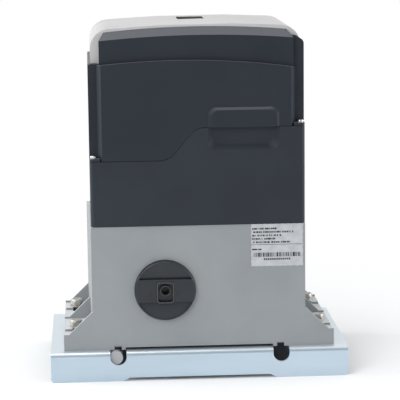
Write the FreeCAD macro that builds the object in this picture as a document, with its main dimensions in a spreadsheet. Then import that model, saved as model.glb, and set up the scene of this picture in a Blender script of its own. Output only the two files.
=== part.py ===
import FreeCAD, Part
import math
import os
import re
import Sketcher

# Sliding gate motor. Millimetres, +Z up, -Y the side with the release knob, +Y the gate side with the
# output pinion. The origin is on the ground, in the middle of the base plate and of the overall depth.

V = FreeCAD.Vector
X_AXIS = V(1, 0, 0)
Y_AXIS = V(0, 1, 0)
Z_AXIS = V(0, 0, 1)

document = FreeCAD.newDocument("gate_motor")
sheet = document.addObject("Spreadsheet::Sheet", "sizes")

# Every size that can be changed by itself.
plain_sizes = [
    ("shaft_tail", 8, "output shaft beyond the pinion"),
    ("seat_gap", 0.3, "clearance between pieces that move past each other"),
    ("running_gap", 0.06, "radial clearance of a running fit"),
    ("plate_length", 330, "base plate, side to side"),
    ("plate_depth", 196.8, "base plate, front to back"),
    ("plate_height", 33.1, "base plate top above the ground"),
    ("plate_sheet", 3, "base plate sheet"),
    ("plate_bend", 5, "outside radius of the folds"),
    ("plate_corner", 4, "corners of the flanges"),
    ("notch_width", 18, "cable notch"),
    ("notch_spacing", 181, "between the two cable notches"),
    ("notch_bottom", 18, "lowest point of a notch above the ground"),
    ("notch_reach", 46, "how far a notch runs into the top of the plate"),
    ("relief_height", 3.8, "raised middle of the flange's lower edge"),
    ("relief_length", 156, "raised middle, along its top"),
    ("relief_slope", 7, "slanted ends of the raised middle"),
    ("anchor_span", 206, "anchor holes, side to side"),
    ("anchor_depth_span", 70, "anchor holes, front to back"),
    ("anchor_hole", 11, "anchor hole diameter"),
    ("casting_setback", 9.7, "casting behind the front of the plate"),
    ("casting_depth", 174.3, "casting, front to back"),
    ("casting_width", 236.2, "casting, front face"),
    ("casting_flare", 4.4, "extra half width at the back of the casting"),
    ("casting_height", 138.7, "casting, above the plate"),
    ("casting_wall", 4, "casting walls"),
    ("casting_floor", 60, "top of the casting's floor above the ground"),
    ("floor_sheet", 5, "casting floor thickness"),
    ("casting_relief", 2.7, "gap under the casting's front edge"),
    ("casting_relief_length", 164, "length of that gap"),
    ("foot_width", 300.2, "casting over its feet"),
    ("foot_face", 18.5, "height of the foot's end face"),
    ("foot_pad", 16.4, "height of the foot where the bolts sit"),
    ("foot_step", 5.7, "flat top of the gusset's toe"),
    ("gusset_rise", 43.8, "gusset height above the plate"),
    ("gusset_sheet", 3.5, "gusset thickness"),
    ("foot_boss", 2.5, "raised boss under the foot washers"),
    ("foot_boss_size", 18, "that boss, front to back"),
    ("bolt_span", 272.6, "foot bolts, side to side"),
    ("bolt_depth_span", 106, "foot bolts, front to back"),
    ("bolt_middle", 97, "middle of the foot bolts behind the plate's front"),
    ("bolt_size", 8, "foot bolt thread"),
    ("slot_length", 19, "foot slot, front to back, open through the boss's front"),
    ("washer_sheet", 1.6, "flat washer thickness"),
    ("spring_washer", 2, "split washer thickness"),
    ("elbow_size", 15, "cable entry elbow, outside diameter"),
    ("elbow_x", -92.9, "cable entry elbow, side to side"),
    ("elbow_height", 25.5, "cable entry elbow axis above the ground"),
    ("elbow_front", 4.5, "face of the elbow behind the plate's front"),
    ("wheel_teeth", 30, "worm wheel teeth"),
    ("worm_module", 2.5, "module of worm and wheel"),
    ("worm_pitch", 25, "worm pitch diameter"),
    ("worm_length", 50, "threaded length of the worm"),
    ("mesh_gap", 0.45, "play on each side of a worm wheel tooth"),
    ("wheel_width", 18, "worm wheel face width"),
    ("wheel_middle", 98, "worm wheel behind the plate's front"),
    ("output_x", -37.4, "output shaft axis, side to side"),
    ("output_z", 100, "output shaft axis above the ground"),
    ("output_size", 25, "output shaft diameter"),
    ("output_bearing", 47, "output bearing outside diameter"),
    ("bearing_width", 12, "output bearing width"),
    ("worm_bearing", 32, "worm foot bearing outside diameter"),
    ("head_bearing", 35, "worm head bearing outside diameter"),
    ("lid_screw", 4, "gearbox lid screw thread"),
    ("lid_sheet", 7.2, "gearbox lid thickness"),
    ("gasket_sheet", 0.8, "lid gasket thickness"),
    ("chamber_wall", 6, "gear chamber wall"),
    ("pinion_teeth", 16, "output pinion teeth"),
    ("pinion_module", 4, "output pinion module"),
    ("pinion_width", 24, "output pinion face width"),
    ("pinion_gap", 4, "pinion to casting"),
    ("knob_size", 66.4, "release knob diameter"),
    ("knob_height", 8, "release knob, casting recess to rim"),
    ("knob_recess", 2, "recess of the casting under the knob"),
    ("grip_height", 25.5, "grip bar of the knob"),
    ("knob_scoop", 3.4, "depth of the two scoops beside the grip bar"),
    ("frame_rise", 1.4, "raised frame round the key pocket"),
    ("frame_wall", 1.7, "thickness of the raised frame"),
    ("frame_drop", 1.9, "key pocket's middle below the knob's axis"),
    ("grip_pocket", 20, "width of the key pocket in the grip bar"),
    ("knob_stem", 22, "diameter of the knob's stem"),
    ("ring_section", 2.16, "section of the knob's seal ring"),
    ("key_bore", 8, "key socket bore"),
    ("key_tube", 12.4, "key socket outside"),
    ("release_travel", 6, "how far the release pushes the clutch"),
    ("release_angle", 90, "turn of the knob from locked to released, degrees"),
    ("shell_width", 236, "plastic housing, side to side"),
    ("shell_setback", 8.2, "plastic housing behind the front of the plate"),
    ("shell_depth", 178, "plastic housing, front to back"),
    ("shell_wall", 3, "plastic walls"),
    ("shell_corner", 5, "plastic housing upright corners"),
    ("shell_foot", 0.9, "dark joint between casting and housing"),
    ("seam_low", 243.9, "parting line on the left, above the ground"),
    ("seam_high", 279.6, "parting line on the right, above the ground"),
    ("seam_gap", 0.5, "height of the parting gap"),
    ("seam_start", -31.3, "where the line starts to rise"),
    ("seam_run", 29.8, "run of the rising part"),
    ("seam_radius", 22, "rounding of the rising part's ends"),
    ("grip_length", 78.3, "finger grip, side to side"),
    ("grip_left", 11.7, "left end of the finger grip"),
    ("grip_top", 301.6, "top of the finger grip above the ground"),
    ("grip_bottom", 254.5, "bottom of the finger grip above the ground"),
    ("grip_corner", 9, "corner radius of the finger grip"),
    ("grip_raise", 2.4, "raised upper half"),
    ("grip_sink", 5.5, "depth of the scooped lower half"),
    ("grip_slope", 6, "width of the scoop's sloping sides"),
    ("pad_slope", 3, "width of the raised half's sloping sides"),
    ("panel_left", -104.4, "left edge of the front panel"),
    ("panel_right", 103.6, "right edge of the front panel"),
    ("channel_chamfer", 5, "width of the channel's slanted side"),
    ("channel_sink", 12, "depth of the screw channels"),
    ("ledge_sheet", 3, "ledge a cover screw stands on"),
    ("arch_middle", 353.2, "top edge of the front panel, in the middle"),
    ("arch_left", 348.7, "top edge of the front panel, at its left end"),
    ("arch_right", 343.6, "top edge of the front panel, at its right end"),
    ("step_back", 6, "upper band behind the front panel"),
    ("band_middle", 380.3, "lower edge of the bevel, in the middle"),
    ("band_end", 375, "lower edge of the bevel, at its ends"),
    ("bevel_rise", 8.5, "height of the bevel"),
    ("bevel_run", 12.5, "depth of the bevel"),
    ("cap_bottom", 350, "lower edge of the light cap above the ground"),
    ("cap_middle", 391, "crown of the light cap"),
    ("cap_end", 387.5, "top of the light cap where its corners start"),
    ("cap_width", 230, "light cap, side to side"),
    ("cap_corner", 22, "rounded corners of the light cap"),
    ("cap_back_corner", 20, "rounded rear edge of the light cap"),
    ("inset_length", 30, "dark inset of the cap, side to side"),
    ("inset_depth", 33, "dark inset of the cap, front to back"),
    ("inset_middle", 132, "inset behind the front of the plate"),
    ("screw_head", 7.4, "cover screw head diameter"),
    ("screw_shank", 3.6, "cover screw shank diameter"),
    ("screw_inset", 4.6, "cover screw axis in from the housing's side"),
    ("screw_depth", 6.8, "cover screw axis behind the housing's front"),
    ("stator_size", 104, "stator core outside diameter"),
    ("stator_bore", 54, "stator core bore"),
    ("stator_slots", 24, "slots of the stator"),
    ("stator_bottom", 190, "underside of the stator core above the ground"),
    ("stator_height", 60, "stator core height"),
    ("stator_back", 10, "stator ring behind the slots"),
    ("slot_mouth", 2.4, "stator slot at the bore"),
    ("slot_root", 6, "stator slot at its root"),
    ("bell_wall", 9, "wall of the motor's end bells"),
    ("bell_rise", 38, "upper bell height"),
    ("bell_roof", 5, "upper bell roof thickness"),
    ("tie_bolt", 4, "motor tie bolt thread"),
    ("air_gap", 0.6, "rotor to stator"),
    ("motor_shaft", 15, "motor shaft diameter"),
    ("winding_height", 10, "end winding height"),
    ("board_width", 190, "control board, side to side"),
    ("board_height", 88, "control board height"),
    ("board_sheet", 1.6, "control board thickness"),
    ("board_middle", 158, "control board behind the front of the plate"),
    ("board_bottom", 214, "lower edge of the control board above the ground"),
    ("capacitor_size", 36, "run capacitor diameter"),
    ("capacitor_height", 70, "run capacitor height"),
    ("clip_sheet", 1.2, "capacitor clip sheet"),
    ("clip_height", 12, "capacitor clip band"),
    ("relay_width", 20, "relay, side to side"),
    ("relay_height", 16, "relay height"),
    ("relay_depth", 15.5, "relay above the board"),
    ("terminal_count", 10, "two-pole terminal blocks"),
    ("terminal_pitch", 16.5, "from one terminal block to the next"),
    ("terminal_width", 15, "terminal block, side to side"),
    ("terminal_height", 11, "terminal block height"),
    ("terminal_depth", 10, "terminal block above the board"),
    ("transformer_width", 32, "transformer core, side to side"),
    ("transformer_height", 28, "transformer core height"),
    ("transformer_depth", 24, "transformer core above the board"),
    ("coil_swell", 4, "transformer coil beyond its core"),
    ("coil_margin", 5, "transformer core around its coil"),
    ("fuse_length", 22, "fuse length"),
    ("fuse_size", 6.4, "fuse diameter"),
    ("sensor_width", 32, "limit sensor, side to side"),
    ("sensor_height", 24, "limit sensor height"),
    ("sensor_depth", 9, "limit sensor body"),
    ("sensor_nose", 5, "limit sensor nose beyond its body"),
]

# Sizes that follow from the ones above.
derived_sizes = [
    ("overall_depth", "casting_setback + casting_depth + pinion_gap + pinion_width + shaft_tail"),
    ("front_y", "-overall_depth / 2"),
    ("plate_back", "front_y + plate_depth"),
    ("elbow_y", "front_y + elbow_front + elbow_size + 7"),
    ("casting_front", "front_y + casting_setback"),
    ("casting_back", "casting_front + casting_depth"),
    ("casting_half", "casting_width / 2"),
    ("casting_rear_half", "casting_half + casting_flare"),
    ("casting_top", "plate_height + casting_height"),
    ("foot_half", "foot_width / 2"),
    ("foot_top", "plate_height + foot_pad"),
    ("boss_top", "foot_top + foot_boss"),
    ("toe_top", "plate_height + foot_face"),
    ("gusset_top", "plate_height + gusset_rise"),
    ("wheel_pitch_radius", "wheel_teeth * worm_module / 2"),
    ("worm_x", "output_x + wheel_pitch_radius + worm_pitch / 2"),
    ("wheel_y", "front_y + wheel_middle"),
    ("worm_tip", "worm_pitch / 2 + worm_module"),
    ("worm_root", "worm_pitch / 2 - 1.2 * worm_module"),
    ("worm_lead", "pi * worm_module"),
    ("wheel_tip", "wheel_pitch_radius + worm_module - mesh_gap"),
    ("wheel_root", "wheel_pitch_radius - 1.25 * worm_module"),
    ("shaft_radius", "output_size / 2"),
    ("shell_half", "shell_width / 2"),
    ("shell_front", "front_y + shell_setback"),
    ("shell_back", "shell_front + shell_depth"),
    ("shell_bottom", "casting_top + shell_foot"),
    ("chamber_left", "output_x - wheel_pitch_radius - 7"),
    ("chamber_right", "worm_x + worm_pitch / 2 + 9"),
    ("chamber_front", "wheel_y - wheel_width / 2 - 34"),
    ("chamber_back", "wheel_y + wheel_width / 2 + 37"),
    ("chamber_floor", "output_z - wheel_pitch_radius - 12"),
    ("chamber_top", "stator_bottom - 30"),
    ("front_bearing_y", "front_y + 40"),
    ("rear_bearing_y", "chamber_back + 2"),
    ("boss_radius", "output_bearing / 2 + 6"),
    ("lid_low", "chamber_top + gasket_sheet"),
    ("lid_top", "lid_low + lid_sheet"),
    ("stator_top", "stator_bottom + stator_height"),
    ("bell_radius", "stator_size / 2"),
    ("knob_face", "casting_front + knob_recess - knob_height"),
    ("pinion_start", "casting_back + pinion_gap"),
    ("pinion_radius", "pinion_teeth * pinion_module / 2"),
    ("shaft_end", "pinion_start + pinion_width + shaft_tail"),
    ("grip_right", "grip_left + grip_length"),
    ("screw_x", "shell_half - screw_inset"),
    ("screw_y", "shell_front + screw_depth"),
]

names = {}
for line, (alias, number, note) in enumerate(plain_sizes, 1):
    sheet.set("A%d" % line, alias)
    sheet.set("B%d" % line, str(number))
    sheet.set("C%d" % line, note)
    sheet.setAlias("B%d" % line, alias)
    names[alias] = "sizes." + alias
for line, (alias, rule) in enumerate(derived_sizes, len(plain_sizes) + 1):
    sheet.set("A%d" % line, alias)
    sheet.set("B%d" % line, "=" + rule)
    sheet.setAlias("B%d" % line, alias)
    names[alias] = "sizes." + alias
document.recompute()


class Sizes:
    """Reads the sheet's numbers by name."""

    def __getattr__(self, alias):
        return float(getattr(sheet, alias))


size = Sizes()
finished = []


def bound(rule):
    """A rule in the sheet's words, as an expression for another object."""
    return re.sub(r"[a-z][a-z_]*", lambda word: names.get(word.group(), word.group()), rule)


def tie(item, **rules):
    """Binds properties of an object to rules."""
    for key, rule in rules.items():
        item.setExpression(key.replace("_at_", "."), bound(rule))
    return item


def place(item, x="0", y="0", z="0", along=None, angle=0):
    """Sets an object's place by rules, turned by an angle about an axis."""
    if along is not None:
        item.Placement = FreeCAD.Placement(V(0, 0, 0), FreeCAD.Rotation(along, angle))
    for letter, rule in (("x", x), ("y", y), ("z", z)):
        item.setExpression("Placement.Base." + letter, bound(rule))
    return item


def box(name, left, right, front, back, low, high):
    """A box between six rules."""
    item = document.addObject("Part::Box", name)
    tie(item, Length="(%s) - (%s)" % (right, left), Width="(%s) - (%s)" % (back, front),
        Height="(%s) - (%s)" % (high, low))
    return place(item, left, front, low)


def rod(name, radius, start, end, along="Z", a="0", b="0"):
    """A cylinder along an axis; a and b are its other two coordinates in X, Y, Z order."""
    item = document.addObject("Part::Cylinder", name)
    tie(item, Radius=radius, Height="(%s) - (%s)" % (end, start))
    if along == "Z":
        return place(item, a, b, start)
    if along == "Y":
        return place(item, a, start, b, X_AXIS, -90)
    return place(item, start, a, b, Y_AXIS, 90)


def cut(name, base, *tools):
    """The base without the tools."""
    item = document.addObject("Part::Cut", name)
    item.Base = base
    item.Tool = tools[0] if len(tools) == 1 else join(name + "_tools", *tools)
    return item


def join(name, *pieces):
    """The pieces as one solid."""
    item = document.addObject("Part::MultiFuse", name)
    item.Shapes = list(pieces)
    item.Refine = True
    return item


def pad(name, plane, points, low, high):
    """A polygon drawn on an origin plane and padded between two rules along the plane's axis."""
    body = document.addObject("PartDesign::Body", name)
    sketch = body.newObject("Sketcher::SketchObject", name + "_outline")
    origin = [item for item in body.Origin.OriginFeatures if item.Role == plane + "_Plane"][0]
    sketch.AttachmentSupport = (origin, [""])
    sketch.MapMode = "FlatFace"
    sketch.setExpression("AttachmentOffset.Base.z", bound("-(%s)" % high if plane == "XZ" else low))
    count = len(points)
    ring = [V(10 * math.cos(2 * math.pi * k / count), 10 * math.sin(2 * math.pi * k / count), 0)
            for k in range(count)]
    for k in range(count):
        sketch.addGeometry(Part.LineSegment(ring[k], ring[(k + 1) % count]))
    for k in range(count):
        sketch.addConstraint(Sketcher.Constraint("Coincident", k, 2, (k + 1) % count, 1))
    for k in range(count):
        across = sketch.addConstraint(Sketcher.Constraint("DistanceX", -1, 1, k, 1, ring[k].x))
        upward = sketch.addConstraint(Sketcher.Constraint("DistanceY", -1, 1, k, 1, ring[k].y))
        sketch.setExpression("Constraints[%d]" % across, bound(points[k][0]))
        sketch.setExpression("Constraints[%d]" % upward, bound(points[k][1]))
    feature = body.newObject("PartDesign::Pad", name + "_pad")
    feature.Profile = sketch
    tie(feature, Length="(%s) - (%s)" % (high, low))
    body.Tip = feature
    return body


def form(name, shape):
    """A shape made by Part functions, as an object."""
    item = document.addObject("Part::Feature", name)
    item.Shape = shape
    return item


def finish(item, label):
    """Marks an object as a finished piece with its name."""
    item.Label = label
    finished.append(item)
    return item


def group(name, pieces):
    """Several equal pieces as one object of separate solids."""
    document.recompute()
    return form(name, Part.makeCompound([solid for piece in pieces for solid in piece.Shape.Solids]))


def rounded(points, closed=True):
    """A flat wire through (point, radius) pairs, each corner rounded by its radius."""
    edges = []
    count = len(points)
    starts = []
    ends = []
    for k, (corner, radius) in enumerate(points):
        if radius <= 0 or (not closed and k in (0, count - 1)):
            starts.append(corner)
            ends.append(corner)
            continue
        before = (points[k - 1][0] - corner).normalize()
        after = (points[(k + 1) % count][0] - corner).normalize()
        half = before.getAngle(after) / 2
        reach = radius / math.tan(half)
        middle = (before + after).normalize() * (radius / math.sin(half) - radius)
        starts.append(corner + before * reach)
        ends.append(corner + after * reach)
        edges.append(Part.Arc(starts[-1], corner + middle, ends[-1]).toShape())
    for k in range(count if closed else count - 1):
        if (starts[(k + 1) % count] - ends[k]).Length > 1e-6:
            edges.append(Part.makeLine(ends[k], starts[(k + 1) % count]))
    return Part.Wire(Part.__sortEdges__(edges))


def prism(points, along):
    """The closed rounded outline, extruded along a vector."""
    return Part.Face(rounded(points)).extrude(along)


def turned(points, x, y, along):
    """A profile of (radius, height) pairs revolved about an upright axis, or about one along Y."""
    wire = Part.makePolygon([V(radius, 0, height) for radius, height in points + points[:1]])
    shape = Part.Face(wire).revolve(V(0, 0, 0), Z_AXIS, 360)
    if along == "Y":
        shape.rotate(V(0, 0, 0), X_AXIS, -90)
    shape.translate(V(x, y, 0) if along == "Z" else V(x, 0, y))
    return shape


def quarter(signs, span_x, span_y):
    """The corners of a rectangle as rules."""
    return [("%d * %s / 2" % (a, span_x), "%d * %s / 2" % (b, span_y)) for a, b in signs]


corners = [(-1, -1), (1, -1), (-1, 1), (1, 1)]

# Base plate: one folded sheet, open at its ends, with cable notches and anchor holes.
web = box("web", "-plate_length / 2", "plate_length / 2", "front_y", "plate_back", "0", "plate_height")
web_hollow = box("web_hollow", "-plate_length / 2 - 1", "plate_length / 2 + 1", "front_y + plate_sheet",
                 "plate_back - plate_sheet", "-1", "plate_height - plate_sheet")
channel = cut("channel", web, web_hollow)
document.recompute()
fold = document.addObject("Part::Fillet", "fold")
fold.Base = channel
outer_folds = []
for number, edge in enumerate(channel.Shape.Edges, 1):
    box_of = edge.BoundBox
    if box_of.XLength > size.plate_length - 1 and box_of.ZMin > size.plate_height - 0.01:
        outer_folds.append((number, size.plate_bend, size.plate_bend))
    inner = abs(box_of.ZMax - (size.plate_height - size.plate_sheet)) < 0.01
    if box_of.XLength > size.plate_length - 1 and inner:
        outer_folds.append((number, size.plate_bend - size.plate_sheet, size.plate_bend - size.plate_sheet))
fold.Edges = outer_folds
plate_cuts = [pad("flange_relief", "XZ", [("-relief_length / 2 - relief_slope", "-1"),
                                         ("-relief_length / 2 - relief_slope", "0"),
                                         ("-relief_length / 2", "relief_height"),
                                         ("relief_length / 2", "relief_height"),
                                         ("relief_length / 2 + relief_slope", "0"),
                                         ("relief_length / 2 + relief_slope", "-1")],
                  "front_y - 1", "plate_back + 1")]
for side, name in ((-1, "left"), (1, "right")):
    middle = "%d * notch_spacing / 2" % side
    plate_cuts.append(rod(name + "_notch_round", "notch_width / 2", "front_y - 1",
                          "front_y + plate_sheet + 3", "Y", middle, "notch_bottom + notch_width / 2"))
    plate_cuts.append(box(name + "_notch_slot", middle + " - notch_width / 2",
                          middle + " + notch_width / 2",
                          "front_y - 1", "front_y + plate_sheet + 3", "notch_bottom + notch_width / 2",
                          "plate_height + 1"))
    plate_cuts.append(box(name + "_notch_run", middle + " - notch_width / 2", middle + " + notch_width / 2",
                          "front_y + plate_sheet", "front_y + notch_reach",
                          "plate_height - plate_sheet - 3",
                          "plate_height + 1"))
for k, (x, y) in enumerate(quarter(corners, "anchor_span", "anchor_depth_span")):
    plate_cuts.append(rod("anchor_hole_%d" % k, "anchor_hole / 2", "0", "plate_height + 1", "Z", x,
                          "wheel_y + " + y))
for k, (x, y) in enumerate(quarter(corners, "bolt_span", "bolt_depth_span")):
    plate_cuts.append(rod("foot_hole_%d" % k, "bolt_size / 2 + 0.5", "0", "plate_height + 1", "Z", x,
                          "front_y + bolt_middle + " + y))
plate_raw = cut("plate_raw", fold, *plate_cuts)
document.recompute()
plate_round = document.addObject("Part::Fillet", "base_plate")
plate_round.Base = plate_raw
plate_round.Edges = [(number, size.plate_corner, size.plate_corner)
                     for number, edge in enumerate(plate_raw.Shape.Edges, 1)
                     if edge.BoundBox.YLength > size.plate_sheet - 0.01 and edge.BoundBox.ZMax < 0.01
                     and edge.BoundBox.XLength < 0.01
                     and abs(abs(edge.BoundBox.XMin) - size.plate_length / 2) < 0.01]
finish(plate_round, "base_plate")

# Casting: gearbox housing with gusseted feet, a floor, the gear chamber and two shaft bosses.
front_outline = [("-foot_half", "plate_height"), ("-foot_half", "toe_top"),
                 ("-foot_half + foot_step", "toe_top"), ("-casting_half", "gusset_top"),
                 ("-casting_half", "casting_top"), ("casting_half", "casting_top"),
                 ("casting_half", "gusset_top"), ("foot_half - foot_step", "toe_top"),
                 ("foot_half", "toe_top"), ("foot_half", "plate_height")]
gusset_outline = front_outline[:4] + front_outline[6:]
plan_outline = [("-casting_half", "casting_front"), ("casting_half", "casting_front"),
                ("casting_rear_half", "casting_back"), ("-casting_rear_half", "casting_back")]
inner_outline = [("-casting_half + casting_wall", "casting_front + casting_wall"),
                 ("casting_half - casting_wall", "casting_front + casting_wall"),
                 ("casting_rear_half - casting_wall", "casting_back - casting_wall"),
                 ("-casting_rear_half + casting_wall", "casting_back - casting_wall")]
casting_walls = [
    pad("front_wall", "XZ", front_outline, "casting_front", "casting_front + gusset_sheet"),
    pad("middle_gusset", "XZ", gusset_outline, "front_y + bolt_middle",
        "front_y + bolt_middle + gusset_sheet"),
    pad("rear_gusset", "XZ", gusset_outline, "casting_back - gusset_sheet", "casting_back"),
    pad("casting_box", "XY", plan_outline, "plate_height", "casting_top"),
    box("foot_slab", "-foot_half", "foot_half", "casting_front", "casting_back", "plate_height",
        "foot_top")]
for depth, name in ((-1, "front"), (1, "rear")):
    middle = "front_y + bolt_middle + %d * bolt_depth_span / 2" % depth
    casting_walls.append(box(name + "_foot_boss", "-foot_half + 1", "foot_half - 1",
                             middle + " - foot_boss_size / 2",
                             middle + " + foot_boss_size / 2", "plate_height", "boss_top"))
casting_solid = join("casting_solid", *casting_walls)
casting_hollows = [
    pad("upper_hollow", "XY", inner_outline, "casting_floor", "casting_top + 1"),
    pad("lower_hollow", "XY", inner_outline, "plate_height - 1", "casting_floor - floor_sheet"),
    box("front_relief", "-casting_relief_length / 2", "casting_relief_length / 2", "casting_front - 1",
        "casting_back + 1", "plate_height - 1", "plate_height + casting_relief")]
for side, name in ((-1, "left"), (1, "right")):
    middle = "%d * notch_spacing / 2" % side
    casting_hollows.append(box(name + "_edge_notch", middle + " - 4", middle + " + 4", "casting_front - 1",
                               "casting_front + casting_wall + 1", "plate_height - 1", "plate_height + 4"))
casting_shell = cut("casting_shell", casting_solid, *casting_hollows)
casting_core = join("casting_core", casting_shell,
                    box("chamber_block", "chamber_left - chamber_wall", "chamber_right + chamber_wall",
                        "chamber_front - chamber_wall", "chamber_back + chamber_wall",
                        "chamber_floor - chamber_wall", "chamber_top"),
                    rod("front_boss", "boss_radius", "casting_front + 1", "chamber_front", "Y",
                        "output_x", "output_z"),
                    rod("rear_boss", "boss_radius", "chamber_back", "casting_back", "Y",
                        "output_x", "output_z"))
casting_cuts = [
    box("chamber_room", "chamber_left", "chamber_right", "chamber_front", "chamber_back",
        "chamber_floor + 6",
        "chamber_top + 1"),
    rod("worm_bearing_seat", "worm_bearing / 2", "chamber_floor - 4", "chamber_floor + 7", "Z", "worm_x",
        "wheel_y"),
    rod("knob_recess_cut", "knob_size / 2 + 0.8", "casting_front - 1", "casting_front + knob_recess", "Y",
        "output_x", "output_z"),
    rod("knob_stem_bore", "knob_stem / 2 + running_gap", "casting_front - 1", "casting_front + 18", "Y",
        "output_x", "output_z"),
    box("pusher_guide", "output_x - 8.2", "output_x + 8.2", "casting_front + 17", "front_bearing_y",
        "output_z - 8.2", "output_z + 8.2"),
    rod("front_bearing_seat", "output_bearing / 2", "front_bearing_y", "chamber_front + 1", "Y",
        "output_x", "output_z"),
    rod("rear_bearing_seat", "output_bearing / 2", "chamber_back - 1", "rear_bearing_y + bearing_width",
        "Y",
        "output_x", "output_z"),
    rod("rear_passage", "shaft_radius + 3", "rear_bearing_y", "casting_back + 1", "Y",
        "output_x", "output_z"),
    rod("oil_seal_seat", "shaft_radius + 9", "casting_back - 9", "casting_back + 1", "Y",
        "output_x", "output_z"),
    rod("left_cable_hole", "elbow_size / 2 - 1.3", "plate_height", "casting_floor + 1", "Z", "elbow_x",
        "elbow_y"),
    box("right_cable_hole", "notch_spacing / 2 - 9", "notch_spacing / 2 + 9", "front_y + 24",
        "front_y + 60",
        "plate_height", "casting_floor + 1")]
for k, (x, y) in enumerate(quarter(corners, "bolt_span", "bolt_depth_span")):
    y = "front_y + bolt_middle + " + y
    casting_cuts.append(box("foot_slot_%d" % k, x + " - bolt_size / 2 - 0.5", x + " + bolt_size / 2 + 0.5",
                            y + " + bolt_size / 2 + 0.5 - slot_length", y + " + bolt_size / 2 + 0.5",
                            "plate_height - 1", "boss_top + 1"))
for k, (a, b) in enumerate(corners):
    x = "(chamber_left + chamber_right) / 2 + %d * ((chamber_right - chamber_left) / 2 + 2.8)" % a
    y = "(chamber_front + chamber_back) / 2 + %d * ((chamber_back - chamber_front) / 2 + 2.8)" % b
    casting_cuts.append(rod("lid_hole_%d" % k, "lid_screw / 2", "chamber_top - 14", "chamber_top + 1", "Z",
                            x, y))
casting = cut("gearbox_housing", casting_core, *casting_cuts)
finish(casting, "gearbox_housing")

# Foot fasteners: bolt, flat washer, split washer and a nut under the plate, at each of four corners.
bolt_stack = ("boss_top", "boss_top + washer_sheet", "boss_top + washer_sheet + spring_washer")
bolts = []
flats = []
springs = []
nuts = []
for k, (x, y) in enumerate(quarter(corners, "bolt_span", "bolt_depth_span")):
    y = "front_y + bolt_middle + " + y
    flat_ring = rod("flat_ring_%d" % k, "bolt_size", bolt_stack[0], bolt_stack[1], "Z", x, y)
    flat_bore = rod("flat_bore_%d" % k, "bolt_size / 2 + 0.2", bolt_stack[0], bolt_stack[1], "Z", x, y)
    flats.append(cut("flat_%d" % k, flat_ring, flat_bore))
    split_ring = rod("split_ring_%d" % k, "bolt_size * 0.78", bolt_stack[1], bolt_stack[2], "Z", x, y)
    split_bore = rod("split_bore_%d" % k, "bolt_size / 2 + 0.2", bolt_stack[1], bolt_stack[2], "Z", x, y)
    split_gap = box("split_gap_%d" % k, x + " + bolt_size / 2 - 1", x + " + bolt_size", y + " - 0.5",
                    y + " + 0.5", bolt_stack[1], bolt_stack[2])
    springs.append(cut("split_%d" % k, split_ring, split_bore, split_gap))
    head = document.addObject("Part::Prism", "bolt_head_%d" % k)
    head.Polygon = 6
    tie(head, Circumradius="bolt_size * 0.938", Height="bolt_size * 0.66")
    place(head, x, y, bolt_stack[2])
    cone = document.addObject("Part::Cone", "bolt_cone_%d" % k)
    tie(cone, Radius1="bolt_size * 1.02", Radius2="bolt_size * 0.76", Height="bolt_size * 0.66")
    place(cone, x, y, bolt_stack[2])
    crown = document.addObject("Part::Common", "bolt_crown_%d" % k)
    crown.Base = head
    crown.Tool = cone
    shank = rod("bolt_shank_%d" % k, "bolt_size / 2", "plate_height - plate_sheet - 9",
                bolt_stack[2] + " + 1", "Z", x, y)
    bolts.append(join("bolt_%d" % k, crown, shank))
    nut = document.addObject("Part::Prism", "nut_body_%d" % k)
    nut.Polygon = 6
    tie(nut, Circumradius="bolt_size * 0.938", Height="bolt_size * 0.8")
    place(nut, x, y, "plate_height - plate_sheet - bolt_size * 0.8")
    nut_bore = rod("nut_bore_%d" % k, "bolt_size / 2", "plate_height - plate_sheet - bolt_size * 0.8 - 1",
                   "plate_height - plate_sheet", "Z", x, y)
    nuts.append(cut("nut_%d" % k, nut, nut_bore))
finish(group("foot_bolts", bolts), "foot_bolts")
finish(group("foot_flat_washers", flats), "foot_flat_washers")
finish(group("foot_spring_washers", springs), "foot_spring_washers")
finish(group("foot_nuts", nuts), "foot_nuts")

# Cable entry: a grey elbow in the left notch, with a collar under the casting's floor; it carries no cable.
elbow_stub = rod("elbow_stub", "elbow_size / 2", "front_y + elbow_front", "elbow_y", "Y", "elbow_x",
                 "elbow_height")
elbow_riser = rod("elbow_riser", "elbow_size / 2 - 1.5", "elbow_height", "casting_floor + 3", "Z",
                  "elbow_x", "elbow_y")
elbow_ball = document.addObject("Part::Sphere", "elbow_ball")
tie(elbow_ball, Radius="elbow_size / 2 - 1.5")
place(elbow_ball, "elbow_x", "elbow_y", "elbow_height")
elbow_collar = rod("elbow_collar", "elbow_size / 2 + 3", "casting_floor - floor_sheet - 3",
                   "casting_floor - floor_sheet", "Z", "elbow_x", "elbow_y")
elbow_bore = rod("elbow_bore", "elbow_size / 2 - 3.5", "elbow_height", "casting_floor + 4", "Z", "elbow_x",
                 "elbow_y")
finish(cut("cable_elbow", join("elbow_body", elbow_stub, elbow_riser, elbow_ball, elbow_collar),
           elbow_bore),
       "cable_elbow")

# Gearbox lid: also the motor's lower bell, on a gasket and four screws.
lid_sides = ("chamber_left - chamber_wall", "chamber_right + chamber_wall", "chamber_front - chamber_wall",
             "chamber_back + chamber_wall")
gasket_plate = box("gasket_plate", *lid_sides, "chamber_top", "lid_low")
gasket_hole = box("gasket_hole", "chamber_left", "chamber_right", "chamber_front", "chamber_back",
                  "chamber_top - 1", "chamber_top + 2")
lid_plate = box("lid_plate", *lid_sides, "lid_low", "lid_top")
lid_disc = rod("lid_disc", "bell_radius", "lid_low", "stator_bottom", "Z", "worm_x", "wheel_y")
lid_room = rod("lid_room", "bell_radius - bell_wall", "lid_top", "stator_bottom + 1", "Z", "worm_x",
               "wheel_y")
lid_hub = rod("lid_hub", "head_bearing / 2 + 6.5", "lid_low", "lid_top + 9", "Z", "worm_x", "wheel_y")
lid_seat = rod("lid_seat", "head_bearing / 2", "chamber_top", "lid_top + 3.5", "Z", "worm_x", "wheel_y")
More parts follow.
